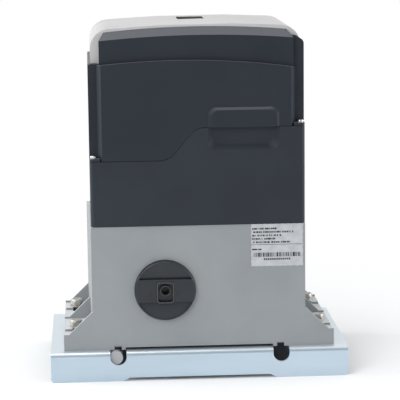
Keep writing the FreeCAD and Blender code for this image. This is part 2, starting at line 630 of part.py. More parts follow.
lid_seal_seat = rod("lid_seal_seat", "13", "lid_top + 3", "lid_top + 10", "Z", "worm_x", "wheel_y")
lid_holes = []
gasket_holes = []
screws = []
for k, (a, b) in enumerate(corners):
    x = "(chamber_left + chamber_right) / 2 + %d * ((chamber_right - chamber_left) / 2 + 2.8)" % a
    y = "(chamber_front + chamber_back) / 2 + %d * ((chamber_back - chamber_front) / 2 + 2.8)" % b
    lid_holes.append(rod("lid_screw_hole_%d" % k, "lid_screw / 2 + 0.2", "chamber_top", "lid_top + 1", "Z",
                         x, y))
    lid_holes.append(rod("lid_screw_access_%d" % k, "lid_screw", "lid_top", "stator_bottom + 1", "Z", x, y))
    gasket_holes.append(rod("gasket_screw_hole_%d" % k, "lid_screw / 2 + 0.2", "chamber_top - 1",
                            "lid_top + 1", "Z", x, y))
    screw_head = rod("lid_screw_head_%d" % k, "lid_screw * 0.875", "lid_top", "lid_top + lid_screw", "Z",
                     x, y)
    screw_key = rod("lid_screw_key_%d" % k, "lid_screw * 0.4", "lid_top + lid_screw / 2",
                    "lid_top + lid_screw + 1", "Z", x, y)
    screw_stem = rod("lid_screw_stem_%d" % k, "lid_screw / 2", "chamber_top - 13", "lid_top + 1", "Z", x, y)
    screws.append(cut("lid_screw_%d" % k, join("lid_screw_body_%d" % k, screw_head, screw_stem), screw_key))
finish(cut("lid_gasket", gasket_plate, gasket_hole, *gasket_holes), "lid_gasket")
finish(cut("motor_flange", join("lid_body", cut("lid_ring", join("lid_shape", lid_plate, lid_disc),
                                                lid_room), lid_hub),
           lid_seat, lid_seal_seat, *lid_holes), "motor_flange")
finish(group("lid_screws", screws), "lid_screws")


# A ball bearing: two rings with a shallow shielded groove on both faces.
def bearing(label, outer, inner, low, high, x, y, along):
    mid = (outer + inner) / 2
    side = (outer - inner) * 0.16
    points = [(inner, low), (mid - side, low), (mid - side, low + 0.7), (mid + side, low + 0.7),
              (mid + side, low),
              (outer, low), (outer, high), (mid + side, high), (mid + side, high - 0.7),
              (mid - side, high - 0.7),
              (mid - side, high), (inner, high)]
    return finish(form(label, turned(points, x, y, along)), label)


journal = size.motor_shaft / 2 - 1.5
bearing("worm_foot_bearing", size.worm_bearing / 2, journal + size.running_gap, size.chamber_floor - 4,
        size.chamber_floor + 6,
        size.worm_x, size.wheel_y, "Z")
bearing("worm_head_bearing", size.head_bearing / 2, size.motor_shaft / 2 + size.running_gap, size.lid_low,
        size.lid_top + 3, size.worm_x, size.wheel_y, "Z")
bearing("output_front_bearing", size.output_bearing / 2, size.shaft_radius + size.running_gap,
        size.front_bearing_y,
        size.front_bearing_y + size.bearing_width, size.output_x, size.output_z, "Y")
bearing("output_rear_bearing", size.output_bearing / 2, size.shaft_radius + size.running_gap,
        size.rear_bearing_y,
        size.rear_bearing_y + size.bearing_width, size.output_x, size.output_z, "Y")


# A lip seal: a ring with a groove on its open face.
def lip_seal(label, outer, inner, low, high, x, y, along):
    points = [(inner, low), (outer, low), (outer, high), (outer - 1.5, high), (outer - 1.5, high - 3),
              (inner + 1.2, high - 3), (inner + 0.8, high), (inner, high)]
    return finish(form(label, turned(points, x, y, along)), label)


lip_seal("output_oil_seal", size.shaft_radius + 9, size.shaft_radius + size.running_gap,
         size.casting_back - 9,
         size.casting_back - 2, size.output_x, size.output_z, "Y")
lip_seal("worm_oil_seal", 13, size.motor_shaft / 2 + size.running_gap, size.lid_top + 3, size.lid_top + 9,
         size.worm_x, size.wheel_y, "Z")


# An involute gear outline about the Y axis: a list of points at the height y, turned by an angle.
def gear_ring(teeth, module, tip, root, play, y, turn, at_gap):
    pitch = teeth * module / 2
    base = pitch * math.cos(math.radians(20))
    half_tooth = math.pi / 2 / teeth - play / 2 / pitch
    roll_pitch = math.tan(math.radians(20)) - math.radians(20)
    flank = []
    for k in range(5):
        radius = max(root + 0.3, base) + (tip - max(root + 0.3, base)) * k / 4
        roll = math.acos(min(1, base / radius))
        flank.append((radius, half_tooth + roll_pitch - (math.tan(roll) - roll)))
    points = []
    for tooth in range(teeth):
        middle = 2 * math.pi * (tooth + (0.5 if at_gap else 0)) / teeth - turn
        edge = [(root, -flank[0][1])] + [(radius, -angle) for radius, angle in flank]
        edge += [(radius, angle) for radius, angle in reversed(flank)] + [(root, flank[0][1])]
        points += [V(radius * math.cos(middle + angle), y, radius * math.sin(middle + angle))
                   for radius, angle in edge]
    return Part.makePolygon(points + points[:1])


def tube(outer, inner, start, end):
    ring = Part.makeCylinder(outer, end - start, V(0, start, 0), Y_AXIS)
    if inner > 0:
        ring = ring.cut(Part.makeCylinder(inner, end - start + 2, V(0, start - 1, 0), Y_AXIS))
    return ring


# Worm wheel: slanted teeth, web recesses, hub and four pockets for the clutch dogs.
half_width = size.wheel_width / 2
slant = size.worm_lead / (math.pi * size.worm_pitch) * half_width / size.wheel_pitch_radius
rings = [gear_ring(int(size.wheel_teeth), size.worm_module, size.wheel_tip, size.wheel_root, size.mesh_gap,
                   side * half_width, side * slant, True) for side in (-1, 1)]
wheel = Part.makeLoft(rings, True, True)
hub_front = -half_width - 9
wheel = wheel.fuse(tube(size.shaft_radius + 9, 0, hub_front, 0))
wheel = wheel.cut(tube(size.wheel_root - 5, size.shaft_radius + 9, -half_width - 0.1, -half_width + 4))
wheel = wheel.cut(tube(size.wheel_root - 5, size.shaft_radius + 13, half_width - 4, half_width + 0.1))
wheel = wheel.cut(tube(size.shaft_radius, 0, hub_front - 1, half_width + 1))
dog_depth = size.release_travel - 1
for k in range(4):
    pocket = Part.makeBox(8, dog_depth + 0.3, 8.8, V(-4, half_width - dog_depth, size.shaft_radius - 0.3))
    pocket.rotate(V(0, 0, 0), Y_AXIS, 90 * k + 45)
    wheel = wheel.cut(pocket)
wheel.translate(V(size.output_x, size.wheel_y, size.output_z))
finish(form("worm_wheel", wheel), "worm_wheel")

# Worm and motor shaft in one piece.
worm_low = size.output_z - size.worm_length / 2
thread_start = size.output_z - size.worm_lead / 2
thread_start -= size.worm_lead * math.ceil(size.worm_length / 2 / size.worm_lead + 0.5)
turns_height = size.worm_length + 3 * size.worm_lead
helix = Part.makeHelix(size.worm_lead, turns_height, size.worm_root)
half_thread = size.worm_lead / 4 - size.mesh_gap / 2
slope = math.tan(math.radians(20))
foot = half_thread + (size.worm_pitch / 2 - size.worm_root) * slope
crest = half_thread - (size.worm_tip - size.worm_pitch / 2) * slope
section = Part.makePolygon([V(size.worm_root - 0.6, 0, -foot), V(size.worm_tip, 0, -crest),
                            V(size.worm_tip, 0, crest), V(size.worm_root - 0.6, 0, foot),
                            V(size.worm_root - 0.6, 0, -foot)])
thread = Part.Wire([helix]).makePipeShell([section], True, True)
thread.translate(V(0, 0, thread_start))
thread = thread.common(Part.makeCylinder(size.worm_tip + 1, size.worm_length, V(0, 0, worm_low)))
core = Part.makeCylinder(size.worm_root, size.worm_length + 8, V(0, 0, worm_low - 4))
shaft_bottom = size.chamber_floor - 3.7
worm_shaft = core.fuse(Part.makeCylinder(journal, size.worm_length, V(0, 0, shaft_bottom)))
worm_shaft = worm_shaft.fuse(Part.makeCylinder(size.motor_shaft / 2, size.stator_top + 12 - size.output_z,
                                               V(0, 0, size.output_z)))
worm_shaft = worm_shaft.fuse(Part.makeCylinder(journal, size.stator_top + 33 - size.output_z,
                                               V(0, 0, size.output_z)))
worm_shaft = worm_shaft.fuse(thread)
worm_shaft.translate(V(size.worm_x, size.wheel_y, 0))
finish(form("worm_shaft", worm_shaft), "worm_shaft")

# Output shaft: hollow in front for the push rod, cross slot for the clutch pin, keyway behind.
rod_bore = 5.2
dog_start = size.wheel_y + half_width + size.seat_gap
pin_y = dog_start + 6
dog_end = dog_start + 12
seat_y = size.chamber_back - 6
output_shaft = Part.makeCylinder(size.shaft_radius, size.shaft_end - size.front_bearing_y,
                                 V(0, size.front_bearing_y, 0), Y_AXIS)
collar_start = size.front_bearing_y + size.bearing_width + size.seat_gap
output_shaft = output_shaft.fuse(tube(size.shaft_radius + 4, 0, collar_start, size.wheel_y + hub_front))
output_shaft = output_shaft.cut(tube(rod_bore, 0, size.front_bearing_y - 1,
                                     pin_y + size.release_travel + 4))
cross_slot = Part.makeBox(2 * size.shaft_radius + 4, size.release_travel + 5.6, 5.6,
                          V(-size.shaft_radius - 2, pin_y - 2.8, -2.8))
output_shaft = output_shaft.cut(cross_slot)
key_start = size.pinion_start + 1
key_length = size.pinion_width - 2
key = Part.makeBox(8, key_length, 7, V(-4, key_start, size.shaft_radius - 4))
output_shaft = output_shaft.cut(key)
clip_y = size.pinion_start + size.pinion_width
clip_groove = tube(size.shaft_radius + 1, size.shaft_radius - 0.9, clip_y, clip_y + 1.5)
output_shaft = output_shaft.cut(clip_groove)
axis_place = V(size.output_x, 0, size.output_z)
output_shaft.translate(axis_place)
finish(form("output_shaft", output_shaft), "output_shaft")

# Output pinion, its key and its retaining ring.
pinion_ring = gear_ring(int(size.pinion_teeth), size.pinion_module, size.pinion_radius + size.pinion_module,
                        size.pinion_radius - 1.25 * size.pinion_module, 0.2, size.pinion_start, 0, False)
pinion = Part.Face(pinion_ring).extrude(V(0, size.pinion_width, 0))
pinion = pinion.cut(tube(size.shaft_radius, 0, size.pinion_start - 1, clip_y + 1)).cut(key)
pinion = pinion.cut(Part.makeBox(8, size.pinion_width + 2, 7, V(-4, size.pinion_start - 1,
                                                                size.shaft_radius - 4)))
pinion.translate(axis_place)
finish(form("output_pinion", pinion), "output_pinion")
key.translate(axis_place)
finish(form("pinion_key", key), "pinion_key")
clip = tube(size.shaft_radius + 4, size.shaft_radius - 0.9, clip_y, clip_y + 1.5)
clip = clip.cut(Part.makeBox(6, 5, 12, V(-3, clip_y - 1, -size.shaft_radius - 7)))
clip.translate(axis_place)
finish(form("pinion_clip", clip), "pinion_clip")

# Clutch: a dog ring on the shaft, its cross pin and push rod, and the spring that engages it.
dog = tube(size.shaft_radius + 8.6, size.shaft_radius + size.running_gap, dog_start, dog_end)
for k in range(4):
    tooth = Part.makeBox(7.4, dog_depth, 7.6, V(-3.7, dog_start - dog_depth + 0.4, size.shaft_radius + 0.5))
    tooth.rotate(V(0, 0, 0), Y_AXIS, 90 * k + 45)
    dog = dog.fuse(tooth)
pin = Part.makeCylinder(2.4, 2 * size.shaft_radius + 17, V(-size.shaft_radius - 8.5, pin_y, 0), X_AXIS)
dog = dog.cut(pin).removeSplitter()
dog.translate(axis_place)
finish(form("clutch_dog", dog), "clutch_dog")
rod_start = size.front_bearing_y + 2
push_rod = tube(rod_bore - 0.2, 0, rod_start, pin_y + 3.6).cut(pin)
push_rod.translate(axis_place)
finish(form("push_rod", push_rod), "push_rod")
pin.translate(axis_place)
finish(form("clutch_pin", pin), "clutch_pin")
spring_wire = 1.3
spring_radius = size.shaft_radius + 4
coils = 4
spring_run = seat_y - dog_end - 2 * spring_wire
coil = Part.makeHelix(spring_run / coils, spring_run, spring_radius)
eye = Part.Wire([Part.makeCircle(spring_wire, V(spring_radius, 0, 0), Y_AXIS)])
clutch_spring = Part.Wire([coil]).makePipeShell([eye], True, True)
clutch_spring.rotate(V(0, 0, 0), X_AXIS, -90)
clutch_spring.translate(V(size.output_x, dog_end + spring_wire, size.output_z))
finish(form("clutch_spring", clutch_spring), "clutch_spring")
spring_seat = tube(size.shaft_radius + 7, size.shaft_radius, seat_y, seat_y + 3)
spring_seat.translate(axis_place)
finish(form("spring_seat", spring_seat), "spring_seat")

# Release: knob with grip bar, steel spindle, key socket, O-ring, and the square pusher it drives.
knob_radius = size.knob_size / 2
knob_back = size.casting_front + size.knob_recess - size.seat_gap
stem_end = size.casting_front + 16.7
knob = tube(knob_radius, 0, size.knob_face, knob_back)
rim_edges = [edge for edge in knob.Edges
             if abs(edge.BoundBox.YMax - size.knob_face) < 0.01 and edge.BoundBox.XLength > 1]
knob = knob.makeFillet(1.5, rim_edges)
bar = size.grip_height / 2
scoop_floor = size.knob_face + size.knob_scoop
scoop_room = tube(knob_radius - 1.4, 0, size.knob_face - 2, scoop_floor + 1)
for side in (-1, 1):
    slopes = Part.makePolygon([V(-knob_radius, size.knob_face - 2, side * bar),
                               V(-knob_radius, scoop_floor, side * bar),
                               V(-knob_radius, size.knob_face + 0.7 * size.knob_scoop, side * (bar + 7)),
                               V(-knob_radius, size.knob_face + 0.6, side * knob_radius),
                               V(-knob_radius, size.knob_face - 2, side * knob_radius),
                               V(-knob_radius, size.knob_face - 2, side * bar)])
    scoop = Part.Face(slopes).extrude(V(2 * knob_radius, 0, 0)).common(scoop_room)
    knob = knob.cut(scoop)
frame_wide = size.grip_pocket / 2
frame_high = frame_wide + 2.2
frame_front = size.knob_face - size.frame_rise


# A rounded upright rectangle round the key pocket, drawn inwards by an inset.
def frame_form(inset, radius, start, end):
    wide = frame_wide - inset
    low = -size.frame_drop - frame_high + inset
    high = -size.frame_drop + frame_high - inset
    outline = [(V(x, start, z), radius) for x, z in ((-wide, low), (wide, low), (wide, high), (-wide, high))]
    return prism(outline, V(0, end - start, 0))


frame = frame_form(0, 4, frame_front, size.knob_face + 2)
frame_edges = [edge for edge in frame.Edges if abs(edge.BoundBox.YMax - frame_front) < 0.01]
frame = frame.makeFillet(0.7, frame_edges)
pocket = frame_form(size.frame_wall, 3, frame_front - 1, size.knob_face + 4.5)
knob = knob.fuse(frame).cut(pocket)
knob = knob.fuse(tube(size.knob_stem / 2, 0, knob_back - 0.1, stem_end))
groove_y = size.casting_front + 8
groove_half = size.ring_section / 2 + 0.15
knob = knob.cut(tube(size.knob_stem / 2 + 1, size.knob_stem / 2 - size.ring_section - 0.04,
                     groove_y - groove_half,
                     groove_y + groove_half))
socket_start = size.knob_face - 0.2
socket_end = size.knob_face + 10
knob = knob.cut(tube(size.key_tube / 2, 0, socket_start - 5, socket_end))
spindle = tube(2.6, 0, socket_end, stem_end + 8)
knob = knob.cut(spindle)
knob.translate(axis_place)
finish(form("release_knob", knob), "release_knob")
spindle.translate(axis_place)
finish(form("release_spindle", spindle), "release_spindle")
socket = tube(size.key_tube / 2, 0, socket_start, socket_end).cut(tube(size.key_bore / 2, 0,
                                                                       socket_start - 1, socket_end - 2))
socket.translate(axis_place)
finish(form("key_socket", socket), "key_socket")
ring = document.addObject("Part::Torus", "knob_ring")
tie(ring, Radius1="(knob_stem - ring_section) / 2", Radius2="ring_section / 2")
place(ring, "output_x", "casting_front + 8", "output_z", X_AXIS, 90)
finish(ring, "knob_ring")
pusher_start = stem_end + size.seat_gap
pusher = Part.makeBox(16, 4.5, 16, V(-8, pusher_start, -8))
pusher = pusher.fuse(tube(rod_bore - 0.4, 0, pusher_start, rod_start - size.seat_gap))
pusher = pusher.cut(tube(2.9, 0, pusher_start - 1, pusher_start + 8.6))
pusher.translate(axis_place)
finish(form("release_pusher", pusher), "release_pusher")

# Dark plastic housing on the casting, cut along the S-shaped parting line.
half = size.shell_half
front = size.shell_front
back = size.shell_back
wall = size.shell_wall


# The housing's outline seen from above, drawn in by an offset, from one height to another.
def shell_block(inset, low, high, corner):
    outline = [(V(-half + inset, front + inset, low), corner), (V(half - inset, front + inset, low),
                                                                corner),
               (V(half - inset, back - inset, low), corner), (V(-half + inset, back - inset, low), corner)]
    return prism(outline, V(0, 0, high - low))


# Everything above the parting line shifted up by a lift, between two depths.
def above_seam(lift):
    low = size.seam_low + lift
    high = size.seam_high + lift
    reach = half + 10
    outline = [(V(-reach, front - 10, low), 0), (V(size.seam_start, front - 10, low), size.seam_radius),
               (V(size.seam_start + size.seam_run, front - 10, high), size.seam_radius),
               (V(reach, front - 10, high), 0), (V(reach, front - 10, 500), 0),
               (V(-reach, front - 10, 500), 0)]
    return prism(outline, V(0, back - front + 20, 0))


# The finger grip's outline drawn at two depths with two insets, and joined with sloping sides.
def sloped_grip(low, high, rounds, start, end):
    wires = []
    for y, inset in (start, end):
        left = size.grip_left + inset
        right = size.grip_right - inset
        wires.append(rounded([(V(left, y, low + inset), rounds[0]), (V(right, y, low + inset), rounds[0]),
                              (V(right, y, high - inset), rounds[1]), (V(left, y, high - inset), rounds[1])]))
    return Part.makeLoft(wires, True, True)


def slab(left, right, near, far, low, high):
    return Part.makeBox(right - left, far - near, high - low, V(left, near, low))


corner = size.shell_corner
top_room = size.cap_bottom + 60
shell = shell_block(0, size.shell_bottom, top_room, corner).cut(shell_block(wall, size.shell_bottom - 1,
                                                                            top_room + 1, 2))
shell = shell.cut(above_seam(0))
foot_ring = shell_block(0.8, size.casting_top, size.shell_bottom + 2, corner)
foot_ring = foot_ring.cut(shell_block(wall + 1.6, size.casting_top - 1, size.shell_bottom + 3, 2))
shell = shell.fuse(foot_ring)
# A thin lip stands up inside the parting line and guides the cover.
lip = shell_block(wall - 0.2, size.shell_bottom, top_room, 2).cut(shell_block(wall + 2, 0, top_room + 1, 2))
lip_root = lip.cut(above_seam(0)).common(above_seam(-6))
lip_edge = shell_block(wall + size.seat_gap + 0.1, 0, top_room, 2).cut(shell_block(wall + 2, -1,
                                                                                   top_room + 1, 2))
lip_edge = lip_edge.cut(above_seam(4)).common(above_seam(-1))
lip_clear = size.channel_chamfer + 6
for low_x, high_x in ((-half - 1, size.panel_left + lip_clear), (size.panel_right - lip_clear, half + 1)):
    lip_edge = lip_edge.cut(slab(low_x, high_x, front - 1, front + size.channel_sink + wall + 4, 0,
                                 top_room))
lip_edge = lip_edge.cut(slab(size.grip_left - 4, size.grip_right + 4, front - 1, front + 20, 0, top_room))
shell = shell.fuse(lip_root).fuse(lip_edge)
# The lower half of the finger grip is a scoop with its own back wall.
scoop_wall = 2.4
scoop_back = front + size.grip_sink
scoop_shell = sloped_grip(size.grip_bottom, size.seam_high + 20, (size.grip_corner, 1),
                          (front + 1, -scoop_wall), (scoop_back + scoop_wall, size.grip_slope - scoop_wall))
scoop_shell = scoop_shell.cut(above_seam(0))
scoop = sloped_grip(size.grip_bottom, size.seam_high + 20, (size.grip_corner, 1),
                    (front - 1, -size.grip_slope / size.grip_sink), (scoop_back, size.grip_slope))
floor_edges = [edge for edge in scoop.Edges if abs(edge.BoundBox.YMin - scoop_back) < 0.01]
scoop = scoop.makeFillet(2.4, floor_edges)
shell = shell.fuse(scoop_shell).cut(scoop)
# Bosses that take the cover screws.
for side, seam in ((-1, size.seam_low), (1, size.seam_high)):
    boss = Part.makeCylinder(4.4, 26, V(side * size.screw_x, size.screw_y, seam - 26))
    boss = boss.fuse(slab(min(side * size.screw_x, side * (half - 1)), max(side * size.screw_x,
                                                                           side * (half - 1)),
                          size.screw_y - 1, size.screw_y + 1, seam - 26, seam))
    boss = boss.cut(above_seam(0))
    shell = shell.fuse(boss)
    hole = Part.makeCylinder(size.screw_shank / 2 + size.seat_gap, 22, V(side * size.screw_x, size.screw_y,
                                                                         seam - 20))
    shell = shell.cut(hole)
shell = shell.removeSplitter()
finish(form("lower_housing", shell), "lower_housing")

# Upper cover: arched front panel, set-back band with a bevel, and two corner channels with screw ledges.
left = size.panel_left
right = size.panel_right
chamfer = size.channel_chamfer
floor_y = front + size.channel_sink
band_y = front + size.step_back
bevel_y = band_y + size.bevel_run


# An outline in the XZ plane whose top is an arc through three heights.
def arched(x_low, x_high, y, low, top_left, top_middle, top_right):
    a = V(x_low, y, low)
    b = V(x_high, y, low)
    c = V(x_high, y, top_right)
    d = V(x_low, y, top_left)
    arc = Part.Arc(d, V((x_low + x_high) / 2, y, top_middle), c).toShape()
    return Part.Wire([Part.makeLine(a, b), Part.makeLine(b, c), arc, Part.makeLine(d, a)])


def panel_block(inset, low, top_drop):
    plan = [(V(left - chamfer + inset, floor_y + 3, low), 0), (V(left - chamfer + inset, floor_y, low), 0),
            (V(left + inset, front + inset, low), 1.5), (V(right - inset, front + inset, low), 1.5),
            (V(right + chamfer - inset, floor_y, low), 0), (V(right + chamfer - inset, floor_y + 3, low),
                                                            0)]
    block = prism(plan, V(0, 0, 200))
    arch = Part.Face(arched(-half, half, front - 5, low - 1, size.arch_left - 1 - top_drop,
                            size.arch_middle - top_drop,
                            size.arch_right - 1 - top_drop))
    return block.common(arch.extrude(V(0, 60, 0)))


def band_block(inset, low):
    rings = [arched(left - 1.1 + inset, right + 2.4 - inset, band_y + inset, low, size.band_end - inset,
                    size.band_middle - inset, size.band_end + 1 - inset),
             arched(left + 4.4 + inset, right - 4.1 - inset, bevel_y + (1 if inset else 0), low,
                    size.band_end + size.bevel_rise - inset, size.band_middle + size.bevel_rise - inset,
                    size.band_end + 1 + size.bevel_rise - inset)]
    return Part.makeLoft(rings, True, True)


panel_low = size.seam_low - 20
body = shell_block(0, panel_low, size.cap_bottom - 0.4, corner).cut(slab(-half - 1, half + 1, front - 1,
                                                                         floor_y, 0, 500))
cover = body.fuse(panel_block(0, panel_low, 0))
cover = cover.fuse(band_block(0, size.cap_bottom - 20))
column_tool = [(V(right - 5, floor_y, size.cap_bottom - 5), 0), (V(half, floor_y, size.cap_bottom - 5), 0),
               (V(half, floor_y, size.band_end - 3), 6), (V(half - 9, floor_y, size.band_end + 3), 3),
               (V(right - 5, floor_y, size.band_end + 3), 0)]
cover = cover.fuse(prism(column_tool, V(0, bevel_y - floor_y, 0)))
for side, seam in ((-1, size.seam_low), (1, size.seam_high)):
    ledge_top = seam + size.seam_gap + size.ledge_sheet
    inner = left - chamfer + 3 if side < 0 else right + chamfer - 3
    low_x, high_x = sorted((side * (half + 1), inner))
    ledge = shell_block(0, panel_low, ledge_top, corner).common(slab(low_x, high_x, front - 1, floor_y + 1,
                                                                     0, 500))
    cover = cover.fuse(ledge)
pad_form = sloped_grip(size.seam_low, size.grip_top, (1, size.grip_corner),
                       (front + 1, -size.pad_slope / size.grip_raise),
                       (front - size.grip_raise, size.pad_slope))
pad_edges = [edge for edge in pad_form.Edges if abs(edge.BoundBox.YMax - pad_form.BoundBox.YMin) < 0.01
             and edge.BoundBox.ZMax > size.seam_high]
pad_form = pad_form.makeFillet(1.5, pad_edges)
pad_tail = slab(size.grip_left - 1, size.grip_right + 1, front - 10, front + 10, 0,
                size.seam_high + size.seam_gap)
cover = cover.fuse(pad_form.cut(pad_tail))
room_low = size.seam_low - 30
room = shell_block(wall, room_low, size.cap_bottom + 1, 2).cut(slab(-half, half, front, floor_y + wall, 0,
                                                                    500))
room = room.fuse(panel_block(wall, room_low, wall))
cover = cover.cut(room)
band_room = band_block(wall, size.cap_bottom - 20)
cover = cover.cut(band_room)
cover = cover.common(above_seam(size.seam_gap))
for side in (-1, 1):
    hole = Part.makeCylinder(size.screw_shank / 2, 200, V(side * size.screw_x, size.screw_y,
                                                          size.seam_low - 20))
    cover = cover.cut(hole)
cover = cover.removeSplitter()
finish(form("upper_cover", cover), "upper_cover")

# Light top cap: a crowned lid behind the bevel, rounded at its ends and its rear edge.
cap_half = size.cap_width / 2


def cap_block(inset, start):
    crown = size.cap_middle - inset
    shoulder = size.cap_end - inset
    reach = cap_half - inset
    low = size.cap_bottom if inset == 0 else size.cap_bottom - 5
    across = [(V(-reach, 0, low), 0), (V(-reach, 0, shoulder - 1.5), size.cap_corner),
              (V(-40, 0, crown - 0.6), 150),
              (V(40, 0, crown + 0.3), 200), (V(reach, 0, shoulder + 0.5), size.cap_corner),
              (V(reach, 0, low), 0)]
    deep = [(V(0, start, low), 0), (V(0, start, crown + 5), 0), (V(0, back - inset, crown + 5),
                                                                 size.cap_back_corner + 5),
            (V(0, back - inset, low), 0)]
    first = prism(across, V(0, 400, 0))
    first.translate(V(0, front - 50, 0))
    second = prism(deep, V(2 * half, 0, 0))
    second.translate(V(-half, 0, 0))
    return first.common(second)


cap = cap_block(0, bevel_y).cut(cap_block(wall, bevel_y + wall))
cap = cap.cut(slab(left + 4.4 + wall, right - 4.1 - wall, bevel_y - 1, bevel_y + wall + 1, 0,
                   size.band_end + 3))
inset_y = size.front_y + size.inset_middle
inset_low = size.cap_middle - 1.4
inset = slab(-size.inset_length / 2, size.inset_length / 2, inset_y - size.inset_depth / 2,
             inset_y + size.inset_depth / 2, inset_low, size.cap_middle + 0.2)
cap = cap.cut(inset).removeSplitter()
finish(form("top_cap", cap), "top_cap")
finish(form("cap_inset", inset), "cap_inset")

# Captive cover screws standing on the ledges.
cover_screws = []
for side, seam in ((-1, size.seam_low), (1, size.seam_high)):
    ledge_top = seam + size.seam_gap + size.ledge_sheet
    head = Part.makeCylinder(size.screw_head / 2, 3, V(0, 0, ledge_top))
    head = head.makeFillet(1.2, [edge for edge in head.Edges if edge.BoundBox.ZMin > ledge_top + 2.9])
    for angle in (0, 90):
        cross = Part.makeBox(4.6, 1, 2, V(-2.3, -0.5, ledge_top + 1.6))
        cross.rotate(V(0, 0, 0), Z_AXIS, angle)
        head = head.cut(cross)
    screw = head.fuse(Part.makeCylinder(size.screw_shank / 2, 16, V(0, 0, ledge_top - 16)))
    screw.translate(V(side * size.screw_x, size.screw_y, 0))
    cover_screws.append(screw)
finish(form("cover_screws", Part.makeCompound(cover_screws)), "cover_screws")

# Motor: slotted stator core, end windings, upper bell, tie bolts and rotor.
stator = document.addObject("PartDesign::Body", "stator_core")


def round_sketch(owner, name, lift, circles):
    sketch = owner.newObject("Sketcher::SketchObject", name)
    origin = [item for item in owner.Origin.OriginFeatures if item.Role == "XY_Plane"][0]
    sketch.AttachmentSupport = (origin, [""])
    sketch.MapMode = "FlatFace"
    sketch.setExpression("AttachmentOffset.Base.z", bound(lift))
    for number, (rule, start_radius) in enumerate(circles):
        sketch.addGeometry(Part.Circle(V(0, 0, 0), Z_AXIS, start_radius))
        sketch.addConstraint(Sketcher.Constraint("Coincident", number, 3, -1, 1))
        held = sketch.addConstraint(Sketcher.Constraint("Radius", number, start_radius))
        sketch.setExpression("Constraints[%d]" % held, bound(rule))
    return sketch


core_sketch = round_sketch(stator, "core_outline", "0", [("stator_size / 2", 50), ("stator_bore / 2", 20)])
core_pad = stator.newObject("PartDesign::Pad", "core_pad")
core_pad.Profile = core_sketch
tie(core_pad, Length="stator_height")
slot_sketch = stator.newObject("Sketcher::SketchObject", "slot_outline")
slot_plane = [item for item in stator.Origin.OriginFeatures if item.Role == "XY_Plane"][0]
slot_sketch.AttachmentSupport = (slot_plane, [""])
slot_sketch.MapMode = "FlatFace"
slot_corners = [V(20, -1, 0), V(40, -2, 0), V(40, 2, 0), V(20, 1, 0)]
slot_rules = [("stator_bore / 2 - 1", "-slot_mouth / 2"), ("stator_size / 2 - stator_back",
                                                           "-slot_root / 2"),
              ("stator_size / 2 - stator_back", "slot_root / 2"), ("stator_bore / 2 - 1", "slot_mouth / 2")]
for k in range(4):
    slot_sketch.addGeometry(Part.LineSegment(slot_corners[k], slot_corners[(k + 1) % 4]))
for k in range(4):
    slot_sketch.addConstraint(Sketcher.Constraint("Coincident", k, 2, (k + 1) % 4, 1))
for k in range(4):
    for kind, rule, start_value in (("DistanceX", slot_rules[k][0], slot_corners[k].x),
                                    ("DistanceY", slot_rules[k][1], slot_corners[k].y)):
        held = slot_sketch.addConstraint(Sketcher.Constraint(kind, -1, 1, k, 1, start_value))
        slot_sketch.setExpression("Constraints[%d]" % held, bound(rule))
slot_cut = stator.newObject("PartDesign::Pocket", "slot_cut")
slot_cut.Profile = slot_sketch
slot_cut.Reversed = True
tie(slot_cut, Length="stator_height")
slots = stator.newObject("PartDesign::PolarPattern", "slots")
slots.Originals = [slot_cut]
slots.Axis = (core_sketch, ["N_Axis"])
slots.Angle = 360
tie(slots, Occurrences="stator_slots")
stator.Tip = slots
bolt_cut = stator.newObject("Sketcher::SketchObject", "tie_hole_outline")
bolt_cut.AttachmentSupport = (slot_plane, [""])
bolt_cut.MapMode = "FlatFace"
bolt_cut.addGeometry(Part.Circle(V(33, 33, 0), Z_AXIS, 2.2))
for kind, start_value in (("DistanceX", 33), ("DistanceY", 33)):
    held = bolt_cut.addConstraint(Sketcher.Constraint(kind, -1, 1, 0, 3, start_value))
    bolt_cut.setExpression("Constraints[%d]" % held, bound("(stator_size / 2 - 4.5) * 0.7071"))
held = bolt_cut.addConstraint(Sketcher.Constraint("Radius", 0, 2.2))
bolt_cut.setExpression("Constraints[%d]" % held, bound("tie_bolt / 2 + 0.2"))
tie_cut = stator.newObject("PartDesign::Pocket", "tie_cut")
tie_cut.Profile = bolt_cut
tie_cut.Reversed = True
tie(tie_cut, Length="stator_height")
tie_holes = stator.newObject("PartDesign::PolarPattern", "tie_holes")
tie_holes.Originals = [tie_cut]
tie_holes.Axis = (core_sketch, ["N_Axis"])
tie_holes.Angle = 360
tie_holes.Occurrences = 4
stator.Tip = tie_holes
place(stator, "worm_x", "wheel_y", "stator_bottom")
finish(stator, "stator_core")

winding_out = size.stator_size / 2 - size.stator_back - 0.5
winding_in = size.stator_bore / 2 + 1.5
windings = []
for low, high in ((size.stator_bottom - size.winding_height, size.stator_bottom),
                  (size.stator_top, size.stator_top + size.winding_height)):
    profile = [(V(winding_in, 0, low), 2.5), (V(winding_out, 0, low), 3), (V(winding_out, 0, high), 3),
               (V(winding_in, 0, high), 2.5)]
    winding = Part.Face(rounded(profile)).revolve(V(0, 0, 0), Z_AXIS, 360)
    winding.translate(V(size.worm_x, size.wheel_y, 0))
    windings.append(winding)
finish(form("stator_windings", Part.makeCompound(windings)), "stator_windings")

